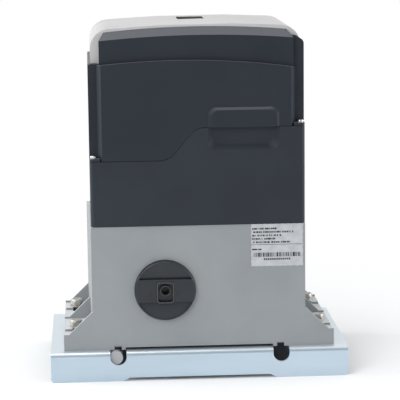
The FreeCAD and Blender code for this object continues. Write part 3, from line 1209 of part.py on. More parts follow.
bell_inner = "stator_top + bell_rise - bell_roof"
bell_ring = rod("bell_ring", "bell_radius", "stator_top", "stator_top + bell_rise", "Z", "worm_x",
                "wheel_y")
bell_room = rod("bell_room", "bell_radius - bell_wall", "stator_top - 1", bell_inner, "Z", "worm_x",
                "wheel_y")
bell_hub = rod("bell_hub", "worm_bearing / 2 + 5", bell_inner + " - 11", bell_inner + " + 1", "Z",
               "worm_x", "wheel_y")
bell_seat = rod("bell_seat", "worm_bearing / 2", bell_inner + " - 12", bell_inner + " + 0.5", "Z",
                "worm_x", "wheel_y")
bell_hole = rod("bell_hole", "motor_shaft / 2", bell_inner, "stator_top + bell_rise + 2", "Z", "worm_x",
                "wheel_y")
bell_cuts = [bell_seat, bell_hole]
tie_bolts = []
for k, (a, b) in enumerate(corners):
    x = "worm_x + %d * (bell_radius - 4.5) * 0.7071" % a
    y = "wheel_y + %d * (bell_radius - 4.5) * 0.7071" % b
    bell_cuts.append(rod("bell_bolt_hole_%d" % k, "tie_bolt / 2 + 0.2", "stator_top - 1",
                         "stator_top + bell_rise + 2",
                         "Z", x, y))
    tie_head = rod("tie_head_%d" % k, "tie_bolt * 0.9", "stator_top + bell_rise",
                   "stator_top + bell_rise + tie_bolt * 0.75", "Z", x, y)
    tie_stem = rod("tie_stem_%d" % k, "tie_bolt / 2", "stator_bottom + 0.2", "stator_top + bell_rise + 1",
                   "Z", x, y)
    tie_bolts.append(join("tie_bolt_%d" % k, tie_head, tie_stem))
finish(cut("upper_bell", join("bell_body", cut("bell_shape", bell_ring, bell_room), bell_hub), *bell_cuts),
       "upper_bell")
finish(group("motor_tie_bolts", tie_bolts), "motor_tie_bolts")
bearing_top = size.stator_top + size.bell_rise - size.bell_roof - 1
bearing("motor_top_bearing", size.worm_bearing / 2, journal + size.running_gap, bearing_top - 10,
        bearing_top,
        size.worm_x, size.wheel_y, "Z")
rotor_radius = size.stator_bore / 2 - size.air_gap
motor_radius = size.motor_shaft / 2
rotor_profile = [(motor_radius, size.stator_bottom - 6), (rotor_radius - 3, size.stator_bottom - 6),
                 (rotor_radius - 1, size.stator_bottom), (rotor_radius, size.stator_bottom),
                 (rotor_radius, size.stator_top), (rotor_radius - 1, size.stator_top),
                 (rotor_radius - 3, size.stator_top + 6), (motor_radius, size.stator_top + 6)]
finish(form("rotor_core", turned(rotor_profile, size.worm_x, size.wheel_y, "Z")), "rotor_core")

# Run capacitor on the gearbox lid, with its clip.
cap_x = size.chamber_left + size.capacitor_size / 2 + 2
cap_y = size.chamber_front + size.capacitor_size / 2
can = Part.makeCylinder(size.capacitor_size / 2, size.capacitor_height, V(cap_x, cap_y, size.lid_top))
can = can.makeFillet(2, [edge for edge in can.Edges if edge.BoundBox.ZMin > size.lid_top + 1 and edge.Closed
                         and edge.BoundBox.ZLength < 0.01])
for dx in (-5, 5):
    can = can.fuse(Part.makeBox(0.8, 6, 8, V(cap_x + dx - 0.4, cap_y - 3,
                                             size.lid_top + size.capacitor_height)))
finish(form("run_capacitor", can), "run_capacitor")
clip_low = size.lid_top + 12
clip_side = cap_x - size.capacitor_size / 2 - size.clip_sheet
clip_front = cap_y - size.clip_height / 2
band = Part.makeCylinder(size.capacitor_size / 2 + size.clip_sheet, size.clip_height,
                         V(cap_x, cap_y, clip_low))
band = band.fuse(Part.makeBox(size.clip_sheet, size.clip_height, 24, V(clip_side, clip_front,
                                                                       size.lid_top)))
band = band.fuse(Part.makeBox(6, size.clip_height, size.clip_sheet, V(clip_side - 6, clip_front,
                                                                      size.lid_top)))
band = band.cut(Part.makeCylinder(size.capacitor_size / 2, 60, V(cap_x, cap_y, size.lid_top - 10)))
band = band.cut(Part.makeBox(8, 8, 30, V(cap_x + size.capacitor_size / 2 - 4, cap_y - 4, size.lid_top)))
finish(form("capacitor_clip", band), "capacitor_clip")

# Control board on its carrier behind the motor.
board_y = size.front_y + size.board_middle
board_low = size.board_bottom
board_high = board_low + size.board_height
board_half = size.board_width / 2
carrier_y = board_y + size.board_sheet + 4
carrier = slab(-board_half - 3, board_half + 3, carrier_y, carrier_y + 3, size.casting_top, board_high + 6)
carrier = carrier.cut(slab(-board_half + 24, board_half - 24, carrier_y - 1, carrier_y + 4,
                           size.casting_top + 14,
                           board_low - 4))
for side in (-1, 1):
    foot_middle = side * (board_half - 12)
    carrier = carrier.fuse(slab(foot_middle - 10, foot_middle + 10, carrier_y, back - wall - 2,
                                size.casting_top,
                                size.casting_top + 4))
board_holes = [(a * (board_half - 6),
                (board_low + board_high) / 2 + b * (size.board_height / 2 - 6)) for a, b in corners]
board = slab(-board_half, board_half, board_y, board_y + size.board_sheet, board_low, board_high)
for x, z in board_holes:
    post = Part.makeCylinder(3.5, carrier_y - board_y - size.board_sheet, V(x, board_y + size.board_sheet,
                                                                            z), Y_AXIS)
    pin_hole = Part.makeCylinder(1.6, 20, V(x, board_y - 5, z), Y_AXIS)
    carrier = carrier.fuse(post).fuse(Part.makeCylinder(1.5, 6, V(x, board_y - 1, z), Y_AXIS))
    board = board.cut(pin_hole)
finish(form("board_carrier", carrier), "board_carrier")
finish(form("control_board", board), "control_board")
relays = [slab(-board_half + 8, -board_half + 8 + size.relay_width, board_y - size.relay_depth, board_y,
               low,
               low + size.relay_height) for low in (board_low + 14, board_low + 20 + size.relay_height)]
finish(form("relays", Part.makeCompound(relays)), "relays")
terminals = []
terminal_top = board_high - 1
terminal_front = board_y - size.terminal_depth
for k in range(int(size.terminal_count)):
    x = -board_half + 14 + k * size.terminal_pitch
    block = slab(x, x + size.terminal_width, terminal_front, board_y, terminal_top - size.terminal_height,
                 terminal_top)
    for share in (0.25, 0.75):
        pole = x + share * size.terminal_width
        wire_way = Part.makeCylinder(2.2, 3, V(pole, terminal_front - 1, terminal_top - 4), Y_AXIS)
        screw_way = slab(pole - 2, pole + 2, terminal_front + 2, board_y - 3, terminal_top - 2.5,
                         terminal_top + 1)
        block = block.cut(wire_way).cut(screw_way)
    terminals.append(block)
finish(form("terminal_blocks", Part.makeCompound(terminals)), "terminal_blocks")
core_left = board_half - 6 - size.transformer_width
core_low = board_low + 14
core_high = core_low + size.transformer_height
margin = size.coil_margin
coil_left = core_left + margin
coil_right = core_left + size.transformer_width - margin
core_front = board_y - size.transformer_depth
core_box = slab(core_left, core_left + size.transformer_width, core_front, board_y, core_low, core_high)
coil_room = slab(coil_left, coil_right, core_front - 1, board_y + 1, core_low + margin, core_high - margin)
coil_box = slab(coil_left, coil_right, core_front - size.coil_swell, board_y - 1, core_low + margin,
                core_high - margin)
finish(form("transformer", core_box.cut(coil_room).fuse(coil_box)), "transformer")
fuse_left = core_left + 4
fuse_low = core_high + 6
fuse = Part.makeCylinder(size.fuse_size / 2, size.fuse_length, V(fuse_left, board_y - 6, fuse_low + 4),
                         X_AXIS)
fuse = fuse.fuse(slab(fuse_left - 1, fuse_left + size.fuse_length + 1, board_y - 5, board_y, fuse_low,
                      fuse_low + 8))
finish(form("fuse_holder", fuse), "fuse_holder")
sensor_y = size.casting_back - size.casting_wall
sensor_x = size.chamber_right + 25
sensor_low = size.output_z + 18
sensor = slab(sensor_x, sensor_x + size.sensor_width, sensor_y - size.sensor_depth, sensor_y, sensor_low,
              sensor_low + size.sensor_height)
nose_side = size.sensor_width / 2 - 6
sensor = sensor.fuse(slab(sensor_x + nose_side, sensor_x + nose_side + 12,
                          sensor_y - size.sensor_depth - size.sensor_nose,
                          sensor_y - 8, sensor_low + 6, sensor_low + size.sensor_height - 6))
finish(form("limit_sensor", sensor), "limit_sensor")

document.recompute()
os.makedirs("parts", exist_ok=True)
problems = [item.Name for item in document.Objects if any(word in item.State for word in ("Invalid",
                                                                                          "Error"))]
for item in finished:
    shape = item.Shape
    if shape.isNull() or not shape.isValid() or not shape.Solids:
        problems.append(item.Label)
        continue
    shape.exportStep("parts/%s.step" % item.Label)
    area = shape.BoundBox
    print("%-22s %2d %10.0f  X %7.1f %7.1f  Y %7.1f %7.1f  Z %6.1f %6.1f" % (
        item.Label, len(shape.Solids), shape.Volume, area.XMin, area.XMax, area.YMin, area.YMax, area.ZMin,
        area.ZMax))
print(len(finished), "pieces; problems:", problems)
if problems:
    raise SystemExit(1)
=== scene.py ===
import bpy
import math
import numpy as np
from mathutils import Matrix, Vector


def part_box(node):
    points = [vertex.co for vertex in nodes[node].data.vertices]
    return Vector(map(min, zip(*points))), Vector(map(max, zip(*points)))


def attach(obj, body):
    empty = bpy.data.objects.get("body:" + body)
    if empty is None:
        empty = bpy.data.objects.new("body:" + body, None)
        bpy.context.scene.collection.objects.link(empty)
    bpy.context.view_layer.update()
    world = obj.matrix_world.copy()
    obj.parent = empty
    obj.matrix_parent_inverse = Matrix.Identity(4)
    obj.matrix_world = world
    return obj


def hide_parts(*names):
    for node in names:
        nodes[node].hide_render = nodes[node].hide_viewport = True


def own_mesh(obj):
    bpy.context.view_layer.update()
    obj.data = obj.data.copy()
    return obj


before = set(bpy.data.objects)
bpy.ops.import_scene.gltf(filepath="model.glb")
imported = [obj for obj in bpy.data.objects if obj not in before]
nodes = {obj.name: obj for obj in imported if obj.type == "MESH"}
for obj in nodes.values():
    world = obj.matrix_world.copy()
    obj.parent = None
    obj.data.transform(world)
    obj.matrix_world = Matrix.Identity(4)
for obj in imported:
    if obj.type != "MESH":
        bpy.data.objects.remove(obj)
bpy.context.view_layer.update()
print("frame loaded:", len(nodes), "pieces")


# A piece from its points and faces, smooth unless told otherwise, with its finish and the body it rides on.
def addPiece(name, points, faces, material, body, smooth=True):
    mesh = bpy.data.meshes.new(name)
    mesh.from_pydata(points.reshape(-1, 3).tolist(), [], faces)
    mesh.polygons.foreach_set("use_smooth", np.full(len(mesh.polygons), smooth))
    mesh.materials.append(material)
    mesh.update()
    piece = bpy.data.objects.new(name, mesh)
    bpy.context.scene.collection.objects.link(piece)
    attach(piece, body)
    return piece


# An open surface from a grid of points in rows and columns: neighbours are joined by quads, and the uv map
# runs from 0 to 1 along the columns and along the rows.
def gridPiece(name, points, material, body):
    rows, columns = points.shape[:2]
    index = np.arange(rows * columns).reshape(rows, columns)
    quads = np.stack([index[:-1, :-1], index[:-1, 1:], index[1:, 1:], index[1:, :-1]], axis=-1).reshape(-1, 4)
    piece = addPiece(name, points, quads.tolist(), material, body)
    v, u = np.meshgrid(np.linspace(0, 1, rows), np.linspace(0, 1, columns), indexing="ij")
    corners = np.stack([u.ravel(), v.ravel()], axis=1)[quads.ravel()]
    piece.data.uv_layers.new(name="along").data.foreach_set("uv", corners.ravel().astype(np.float32))
    return piece


# Flat printed bars in the XZ plane at one depth: each row of the array is a bar's left, right, low and high
# edge, and its four corners make one quad.
def printedBars(name, bars, depth, material, body):
    left, right, low, high = bars.T
    level = np.full_like(left, depth)
    corners = np.stack([left, level, low, right, level, low, right, level, high, left, level, high], axis=1)
    quads = np.arange(len(bars) * 4).reshape(-1, 4)
    return addPiece(name, corners, quads.tolist(), material, body, smooth=False)


# A round wire wound about an axis along Y:
# point = axis + radius outwards + wire * (cos b outwards + sin b along Y).
# It moves evenly along Y but for its close end turns, and both ends are capped.
def woundWire(name, look, material, body):
    share = np.linspace(0, 1, look["steps"])[:, None]
    around = np.linspace(0, 2 * np.pi, look["sides"], endpoint=False)[None, :]
    angle = 2 * np.pi * look["turns"] * share
    endShare = look["closedTurns"] / look["turns"]
    along = np.interp(share, [0, endShare, 1 - endShare, 1],
                      [0, look["closedRise"], look["run"] - look["closedRise"], look["run"]])
    outwards = look["radius"] + look["wire"] * np.cos(around)
    points = np.stack([look["axis"][0] + outwards * np.cos(angle),
                       look["start"] + along + look["wire"] * np.sin(around),
                       look["axis"][1] + outwards * np.sin(angle)], axis=-1)
    index = np.arange(look["steps"] * look["sides"]).reshape(look["steps"], look["sides"])
    beside = np.roll(index, -1, axis=1)
    quads = np.stack([index[:-1], beside[:-1], beside[1:], index[1:]], axis=-1).reshape(-1, 4)
    caps = [index[0, ::-1].tolist(), index[-1].tolist()]
    return addPiece(name, points, quads.tolist() + caps, material, body)


# A closed bead, a thin round section carried along a closed line in the XZ plane at one depth:
# point = line + bead * (cos b across the line + sin b along Y), with the last section joined to the first.
def beadRing(name, line, depth, bead, material, body, sides=10):
    ahead = np.roll(line, -1, axis=0) - np.roll(line, 1, axis=0)
    ahead /= np.linalg.norm(ahead, axis=1, keepdims=True)
    around = np.linspace(0, 2 * np.pi, sides, endpoint=False)[None, :]
    points = np.stack([line[:, :1] + bead * np.cos(around) * ahead[:, 1:],
                       np.repeat(depth + bead * np.sin(around), len(line), axis=0),
                       line[:, 1:] - bead * np.cos(around) * ahead[:, :1]], axis=-1)
    index = np.arange(len(line) * sides).reshape(len(line), sides)
    beside = np.roll(index, -1, axis=1)
    quads = np.stack([index, beside, np.roll(beside, -1, axis=0), np.roll(index, -1, axis=0)], axis=-1)
    return addPiece(name, points, quads.reshape(-1, 4).tolist(), material, body)


# Sets a node's inputs: each takes a value, or a link where it is given another node's output.
def setInputs(tree, node, inputs):
    for socket, value in inputs.items():
        if isinstance(value, bpy.types.NodeSocket):
            tree.links.new(value, node.inputs[socket])
        else:
            node.inputs[socket].default_value = value


# Adds a shader node of one kind, with its inputs and options set.
def addNode(tree, kind, inputs=None, **options):
    node = tree.nodes.new("ShaderNode" + kind)
    for option, choice in options.items():
        setattr(node, option, choice)
    setInputs(tree, node, inputs or {})
    return node


# Mixes two colours by a share, and hands back the mixed colour.
def mixColours(tree, share, colour, colourTwo):
    inputs = {"Factor": share, "A": colour, "B": colourTwo}
    return addNode(tree, "Mix", inputs, data_type="RGBA").outputs["Result"]


plainLook = {"mottleScale": 25, "mottleDetail": 5, "mottleLow": 0.35, "mottleHigh": 0.65,
             "grainScale": 900, "grainDetail": 3, "stretch": (1, 1, 1),
             "roughSpread": 0.06, "bump": 0.25, "bumpHeight": 0.0002,
             "metal": 0, "coat": 0, "coatRough": 0.1, "specular": 0.5, "clear": 0,
             "fleckScale": 120, "fleckDetail": 2, "fleckFrom": 0.72, "fleckFade": 0.05,
             "paintedTopLightLow": 0.35, "paintedTopLightHigh": 0.95, "paintedTopLightMost": 0.8}


# One finish, as changes to the plain look: two shades mixed by a soft mottle, sparse flecks of a third shade,
# painted light that makes faces that look up lighter, as if lit from above, and a fine grain that roughens
# and embosses the surface. Mottle and grain turn to streaks where they are stretched.
def makeFinish(name, changes):
    look = {**plainLook, **changes}
    material = bpy.data.materials.new(name)
    material.use_nodes = True
    tree = material.node_tree
    place = addNode(tree, "TexCoord").outputs["Object"]
    stretched = addNode(tree, "Mapping", {"Vector": place, "Scale": look["stretch"]}).outputs["Vector"]
    mottle = addNode(tree, "TexNoise", {"Vector": stretched, "Scale": look["mottleScale"],
                                        "Detail": look["mottleDetail"]})
    shades = addNode(tree, "ValToRGB", {"Fac": mottle.outputs["Fac"]})
    first, second = shades.color_ramp.elements
    first.position, second.position = look["mottleLow"], look["mottleHigh"]
    first.color, second.color = (*look["shade"], 1), (*look["shadeTwo"], 1)
    colour = shades.outputs["Color"]
    if "fleck" in look:
        specks = addNode(tree, "TexNoise", {"Vector": place, "Scale": look["fleckScale"],
                                            "Detail": look["fleckDetail"]})
        sparse = addNode(tree, "MapRange", {"Value": specks.outputs["Fac"], "From Min": look["fleckFrom"],
                                            "From Max": look["fleckFrom"] + look["fleckFade"]})
        colour = mixColours(tree, sparse.outputs["Result"], colour, (*look["fleck"], 1))
    # Painted light: faces that look up are mixed towards a lighter colour, standing in for light falling from
    # above.
    if "paintedTopLight" in look:
        facing = addNode(tree, "NewGeometry").outputs["Normal"]
        upward = addNode(tree, "SeparateXYZ", {"Vector": facing}).outputs["Z"]
        paintedLightShare = addNode(tree, "MapRange", {"Value": upward, "From Min": look["paintedTopLightLow"],
                                          "From Max": look["paintedTopLightHigh"], "To Max": look["paintedTopLightMost"]})
        colour = mixColours(tree, paintedLightShare.outputs["Result"], colour, (*look["paintedTopLight"], 1))
    grain = addNode(tree, "TexNoise", {"Vector": stretched, "Scale": look["grainScale"],
                                       "Detail": look["grainDetail"]}).outputs["Fac"]
    rough = addNode(tree, "MapRange", {"Value": grain, "To Min": look["rough"] - look["roughSpread"],
                                       "To Max": look["rough"] + look["roughSpread"]})
    bump = addNode(tree, "Bump", {"Height": grain, "Strength": look["bump"], "Distance": look["bumpHeight"]})
    setInputs(tree, tree.nodes["Principled BSDF"],
              {"Base Color": colour, "Roughness": rough.outputs["Result"], "Normal": bump.outputs["Normal"],
               "Metallic": look["metal"], "Coat Weight": look["coat"], "Coat Roughness": look["coatRough"],
               "Specular IOR Level": look["specular"], "Transmission Weight": look["clear"]})
    return material


edgeWork = {"mergeWithin": 0.000005, "bevelAngle": 28, "bevelSegments": 2, "levelWeight": 80, "keenAngle": 32}

# Keeps an edge keen where its two faces turn by more than the keen angle, and shades the rest smoothly.
keenEdges = bpy.data.node_groups.new("keenEdges", "GeometryNodeTree")
keenEdges.interface.new_socket("Geometry", in_out="INPUT", socket_type="NodeSocketGeometry")
keenEdges.interface.new_socket("Geometry", in_out="OUTPUT", socket_type="NodeSocketGeometry")
meshIn = keenEdges.nodes.new("NodeGroupInput")
meshOut = keenEdges.nodes.new("NodeGroupOutput")
turn = keenEdges.nodes.new("GeometryNodeInputMeshEdgeAngle")
gentle = keenEdges.nodes.new("FunctionNodeCompare")
gentle.operation = "LESS_THAN"
gentle.inputs["B"].default_value = math.radians(edgeWork["keenAngle"])
shade = keenEdges.nodes.new("GeometryNodeSetShadeSmooth")
shade.domain = "EDGE"
keenEdges.links.new(turn.outputs["Unsigned Angle"], gentle.inputs["A"])
keenEdges.links.new(meshIn.outputs[0], shade.inputs["Geometry"])
keenEdges.links.new(gentle.outputs["Result"], shade.inputs["Shade Smooth"])
keenEdges.links.new(shade.outputs["Geometry"], meshOut.inputs[0])


# Gives the frame's pieces a finish and merges and smooths their facets. A bevel of the given width softens
# their edges, and with a width of 0 the edges stay keen.
def dress(material, names, edge=0.0003):
    for name in names:
        piece = nodes[name]
        piece.data.materials.clear()
        piece.data.materials.append(material)
        piece.data.polygons.foreach_set("use_smooth", np.ones(len(piece.data.polygons), dtype=bool))
        merge = piece.modifiers.new("merge", "WELD")
        merge.merge_threshold = edgeWork["mergeWithin"]
        if edge > 0:
            soften = piece.modifiers.new("softEdge", "BEVEL")
            soften.width = edge
            soften.segments = edgeWork["bevelSegments"]
            soften.limit_method = "ANGLE"
            soften.angle_limit = math.radians(edgeWork["bevelAngle"])
            soften.harden_normals = True
            soften.use_clamp_overlap = True
            level = piece.modifiers.new("levelFaces", "WEIGHTED_NORMAL")
            level.weight = edgeWork["levelWeight"]
        else:
            keen = piece.modifiers.new("keenEdges", "NODES")
            keen.node_group = keenEdges


# The plate's faces that look up are painted lighter: a painted reflection of the bright sky above.
plateFinish = {"shade": (0.48, 0.59, 0.68), "shadeTwo": (0.57, 0.68, 0.77), "paintedTopLight": (0.86, 0.93, 0.98),
               "mottleScale": 9, "metal": 0.75, "rough": 0.34, "roughSpread": 0.08, "stretch": (0.25, 2, 2),
               "grainScale": 420, "bump": 0.12, "bumpHeight": 0.0001,
               "fleck": (0.30, 0.34, 0.38), "fleckScale": 260, "fleckFrom": 0.78}
dress(makeFinish("bluePassivatedZinc", plateFinish), ["base_plate"], 0.0005)

# The casting's faces that look up, such as the foot tops and gusset slopes, are painted lighter: painted
# light from above.
castingFinish = {"shade": (0.254, 0.273, 0.285), "shadeTwo": (0.282, 0.300, 0.312), "mottleScale": 14,
                 "paintedTopLight": (0.72, 0.74, 0.75), "rough": 0.50, "grainScale": 1100, "bump": 0.30,
                 "bumpHeight": 0.00012, "specular": 0.35,
                 "fleck": (0.52, 0.53, 0.53), "fleckScale": 190, "fleckFrom": 0.80}
dress(makeFinish("greyPowderCoat", castingFinish), ["gearbox_housing"], 0.0006)

boltFinish = {"shade": (0.40, 0.39, 0.36), "shadeTwo": (0.55, 0.54, 0.51), "mottleScale": 160, "metal": 0.85,
              "rough": 0.46, "bump": 0.2, "fleck": (0.28, 0.25, 0.21), "fleckScale": 420, "fleckFrom": 0.70}
dress(makeFinish("boltZinc", boltFinish),
      ["foot_bolts", "foot_flat_washers", "foot_spring_washers", "foot_nuts"])

elbowFinish = {"shade": (0.36, 0.36, 0.37), "shadeTwo": (0.42, 0.42, 0.43), "rough": 0.5, "grainScale": 800}
dress(makeFinish("elbowGrey", elbowFinish), ["cable_elbow"], 0.0005)

housingFinish = {"shade": (0.021, 0.026, 0.035), "shadeTwo": (0.024, 0.030, 0.040), "mottleScale": 18,
                 "rough": 0.50, "grainScale": 1500, "bump": 0.34, "bumpHeight": 0.00010, "specular": 0.25}
dress(makeFinish("housingPlastic", housingFinish), ["lower_housing"], 0.0005)

# The cover's faces that look up, such as its bevel, are painted lighter: a painted highlight from the lamps
# above.
coverFinish = {"shade": (0.017, 0.022, 0.031), "shadeTwo": (0.020, 0.026, 0.036), "mottleScale": 16,
               "paintedTopLight": (0.15, 0.155, 0.17), "rough": 0.46, "grainScale": 1500, "bump": 0.34,
               "bumpHeight": 0.00010, "specular": 0.25}
dress(makeFinish("coverPlastic", coverFinish), ["upper_cover"], 0.0005)

capFinish = {"shade": (0.51, 0.495, 0.50), "shadeTwo": (0.56, 0.545, 0.55), "mottleScale": 12, "rough": 0.34,
             "grainScale": 1700, "bump": 0.16, "bumpHeight": 0.00008, "coat": 0.15, "coatRough": 0.25}
dress(makeFinish("capPlastic", capFinish), ["top_cap"], 0.0005)

insetFinish = {"shade": (0.008, 0.008, 0.010), "shadeTwo": (0.013, 0.013, 0.015), "rough": 0.62,
               "grainScale": 600, "bump": 0.15, "specular": 0.12}
dress(makeFinish("insetBlack", insetFinish), ["cap_inset"], 0.0002)

# The knob's faces that tilt up even a little, such as its upper scoop, are painted lighter: painted light
# from above.
knobFinish = {"shade": (0.011, 0.015, 0.020), "shadeTwo": (0.014, 0.018, 0.024), "mottleScale": 40,
              "paintedTopLight": (0.028, 0.032, 0.039), "paintedTopLightLow": 0.05, "paintedTopLightHigh": 0.12, "rough": 0.32,
              "grainScale": 1300, "bump": 0.22, "bumpHeight": 0.00008}
knobPlastic = makeFinish("knobPlastic", knobFinish)
dress(knobPlastic, ["release_knob"], 0.0006)

socketFinish = {"shade": (0.006, 0.007, 0.008), "shadeTwo": (0.011, 0.012, 0.014), "mottleScale": 300,
                "rough": 0.26, "grainScale": 1500, "specular": 0.3}
dress(makeFinish("socketBlack", socketFinish), ["key_socket"], 0.0002)

screwFinish = {"shade": (0.72, 0.72, 0.73), "shadeTwo": (0.80, 0.80, 0.80), "metal": 1, "rough": 0.16,
               "roughSpread": 0.05, "mottleScale": 300, "grainScale": 2500, "bump": 0.1}
dress(makeFinish("screwBright", screwFinish), ["cover_screws"], 0.0001)

motorCastingFinish = {"shade": (0.52, 0.52, 0.52), "shadeTwo": (0.62, 0.62, 0.61), "metal": 0.85,
                      "rough": 0.42, "mottleScale": 60, "bump": 0.4}
dress(makeFinish("motorCasting", motorCastingFinish), ["motor_flange", "upper_bell"])

turnedFinish = {"shade": (0.45, 0.45, 0.47), "shadeTwo": (0.56, 0.56, 0.57), "metal": 1, "rough": 0.30,
                "stretch": (1, 6, 1), "mottleScale": 80, "grainScale": 700, "bump": 0.2}
dress(makeFinish("turnedSteel", turnedFinish),
      ["worm_shaft", "output_shaft", "clutch_dog", "push_rod", "clutch_pin", "spring_seat", "release_spindle",
       "pinion_key"])

pinionFinish = {"shade": (0.50, 0.50, 0.50), "shadeTwo": (0.62, 0.62, 0.60), "metal": 1, "rough": 0.34,
                "stretch": (1, 0.2, 1), "mottleScale": 120}
dress(makeFinish("pinionSteel", pinionFinish), ["output_pinion"], 0.0004)

blackSteelFinish = {"shade": (0.03, 0.03, 0.032), "shadeTwo": (0.06, 0.06, 0.062), "metal": 0.8,
                    "rough": 0.38, "mottleScale": 200}
blackSteel = makeFinish("blackSteel", blackSteelFinish)
dress(blackSteel, ["lid_screws", "motor_tie_bolts", "pinion_clip"], 0)

bearingFinish = {"shade": (0.62, 0.62, 0.64), "shadeTwo": (0.70, 0.70, 0.71), "metal": 1, "rough": 0.18,
                 "stretch": (1, 1, 9), "grainScale": 1200, "bump": 0.08}
dress(makeFinish("bearingSteel", bearingFinish),
      ["worm_foot_bearing", "worm_head_bearing", "output_front_bearing", "output_rear_bearing",
       "motor_top_bearing"])
dress(makeFinish("clipSteel", bearingFinish), ["capacitor_clip"])

rubberFinish = {"shade": (0.012, 0.012, 0.012), "shadeTwo": (0.022, 0.021, 0.020), "rough": 0.66,
                "grainScale": 1300}
dress(makeFinish("sealRubber", rubberFinish),
      ["output_oil_seal", "worm_oil_seal", "knob_ring", "lid_gasket"], 0)

wheelFinish = {"shade": (0.58, 0.36, 0.14), "shadeTwo": (0.68, 0.46, 0.20), "metal": 1, "rough": 0.28,
               "stretch": (1, 8, 1), "mottleScale": 90, "grainScale": 600, "bump": 0.15}
dress(makeFinish("wheelBronze", wheelFinish), ["worm_wheel"], 0)

pusherFinish = {"shade": (0.62, 0.46, 0.20), "shadeTwo": (0.72, 0.56, 0.27), "metal": 1, "rough": 0.25,
                "mottleScale": 120}
dress(makeFinish("pusherBrass", pusherFinish), ["release_pusher"])

sheetStackFinish = {"shade": (0.14, 0.14, 0.15), "shadeTwo": (0.24, 0.24, 0.25), "metal": 0.8, "rough": 0.40,
                    "stretch": (0.1, 0.1, 30), "mottleScale": 60, "grainScale": 60, "bump": 0.6}
dress(makeFinish("sheetStack", sheetStackFinish), ["stator_core", "rotor_core"], 0)

windingFinish = {"shade": (0.36, 0.11, 0.03), "shadeTwo": (0.62, 0.24, 0.07), "metal": 0.6, "rough": 0.25,
                 "stretch": (1, 1, 6), "mottleScale": 240, "grainScale": 420, "bump": 0.9, "coat": 0.5}
dress(makeFinish("windingCopper", windingFinish), ["stator_windings"], 0)

capacitorFinish = {"shade": (0.66, 0.66, 0.62), "shadeTwo": (0.72, 0.72, 0.69), "rough": 0.30, "coat": 0.2}
dress(makeFinish("capacitorCan", capacitorFinish), ["run_capacitor"])

carrierFinish = {"shade": (0.030, 0.030, 0.032), "shadeTwo": (0.040, 0.040, 0.042), "rough": 0.5}
dress(makeFinish("carrierPlastic", carrierFinish), ["board_carrier"])

boardFinish = {"shade": (0.010, 0.085, 0.030), "shadeTwo": (0.030, 0.150, 0.055), "mottleScale": 340,
               "mottleLow": 0.46, "mottleHigh": 0.52, "rough": 0.28, "coat": 0.5,
               "fleck": (0.45, 0.36, 0.12), "fleckScale": 700, "fleckFrom": 0.70}
dress(makeFinish("boardGreen", boardFinish), ["control_board"], 0)

relayFinish = {"shade": (0.012, 0.035, 0.13), "shadeTwo": (0.016, 0.045, 0.16), "rough": 0.3, "coat": 0.3}
dress(makeFinish("relayBlue", relayFinish), ["relays"])

terminalFinish = {"shade": (0.02, 0.22, 0.06), "shadeTwo": (0.03, 0.27, 0.08), "rough": 0.42}
dress(makeFinish("terminalGreen", terminalFinish), ["terminal_blocks"], 0.0002)

transformerFinish = {"shade": (0.07, 0.05, 0.03), "shadeTwo": (0.13, 0.09, 0.05), "rough": 0.4, "metal": 0.3,
                     "stretch": (20, 0.2, 0.2), "mottleScale": 40}
dress(makeFinish("transformerVarnish", transformerFinish), ["transformer"])

fuseFinish = {"shade": (0.75, 0.80, 0.80), "shadeTwo": (0.85, 0.88, 0.88), "rough": 0.12, "clear": 0.4}
dress(makeFinish("fuseGlass", fuseFinish), ["fuse_holder"], 0)

sensorFinish = {"shade": (0.015, 0.015, 0.016), "shadeTwo": (0.025, 0.025, 0.026), "rough": 0.45}
dress(makeFinish("sensorBlack", sensorFinish), ["limit_sensor"])
print("finishes on the frame's pieces")

# The clutch spring, wound with close end turns, rides on the output.
springLow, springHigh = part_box("clutch_spring")
wire = 0.0013
spring = {"steps": 260, "sides": 16, "turns": 4.5, "closedTurns": 0.9, "closedRise": 2 * wire, "wire": wire,
          "radius": (springHigh[0] - springLow[0]) / 2 - wire, "start": springLow[1] + wire,
          "run": springHigh[1] - springLow[1] - 2 * wire,
          "axis": ((springLow[0] + springHigh[0]) / 2, (springLow[2] + springHigh[2]) / 2), "slide": 0.0061}
clutchCoil = woundWire("clutchCoil", spring, blackSteel, "output")
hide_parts("clutch_spring")
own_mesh(clutchCoil)
print("clutch spring wound")

# The sticker on the casting is a foil with gently wavy edges and a slight crinkle: two crossed waves, each
# swayed by another the other way. A wave's number is its angle over the whole label, in radians.
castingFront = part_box("gearbox_housing")[0][1]
label = {"left": 0.0581, "right": 0.1155, "low": 0.1242, "high": 0.1715, "lift": 0.00018, "crinkle": 0.00010,
         "rows": 40, "columns": 48, "acrossWave": 31, "acrossSway": (3, 17), "upWave": 27, "upSway": (2, 13),
         "sideWave": (0.00025, 40), "endWave": (0.0002, 55)}
labelFinish = {"shade": (0.46, 0.48, 0.50), "shadeTwo": (0.56, 0.57, 0.59), "mottleScale": 120, "metal": 0.35,
               "rough": 0.34, "grainScale": 500, "bump": 0.5, "bumpHeight": 0.0003}
row, column = np.meshgrid(np.linspace(0, 1, label["rows"]), np.linspace(0, 1, label["columns"]),
                          indexing="ij")
acrossSway = label["acrossSway"][0] * np.sin(row * label["acrossSway"][1])
upSway = label["upSway"][0] * np.sin(column * label["upSway"][1])
wave = np.sin(column * label["acrossWave"] + acrossSway) * np.sin(row * label["upWave"] + upSway)
sideWave = label["sideWave"][0] * np.sin(row * label["sideWave"][1])
endWave = label["endWave"][0] * np.sin(column * label["endWave"][1])
labelWide, labelHigh = label["right"] - label["left"], label["high"] - label["low"]
foil = np.stack([label["left"] + labelWide * column + sideWave,
                 castingFront - label["lift"] - label["crinkle"] * (0.5 + 0.5 * wave),
                 label["low"] + labelHigh * row + endWave], axis=-1)
gridPiece("ratingSticker", foil, makeFinish("stickerFoil", labelFinish), "frame")

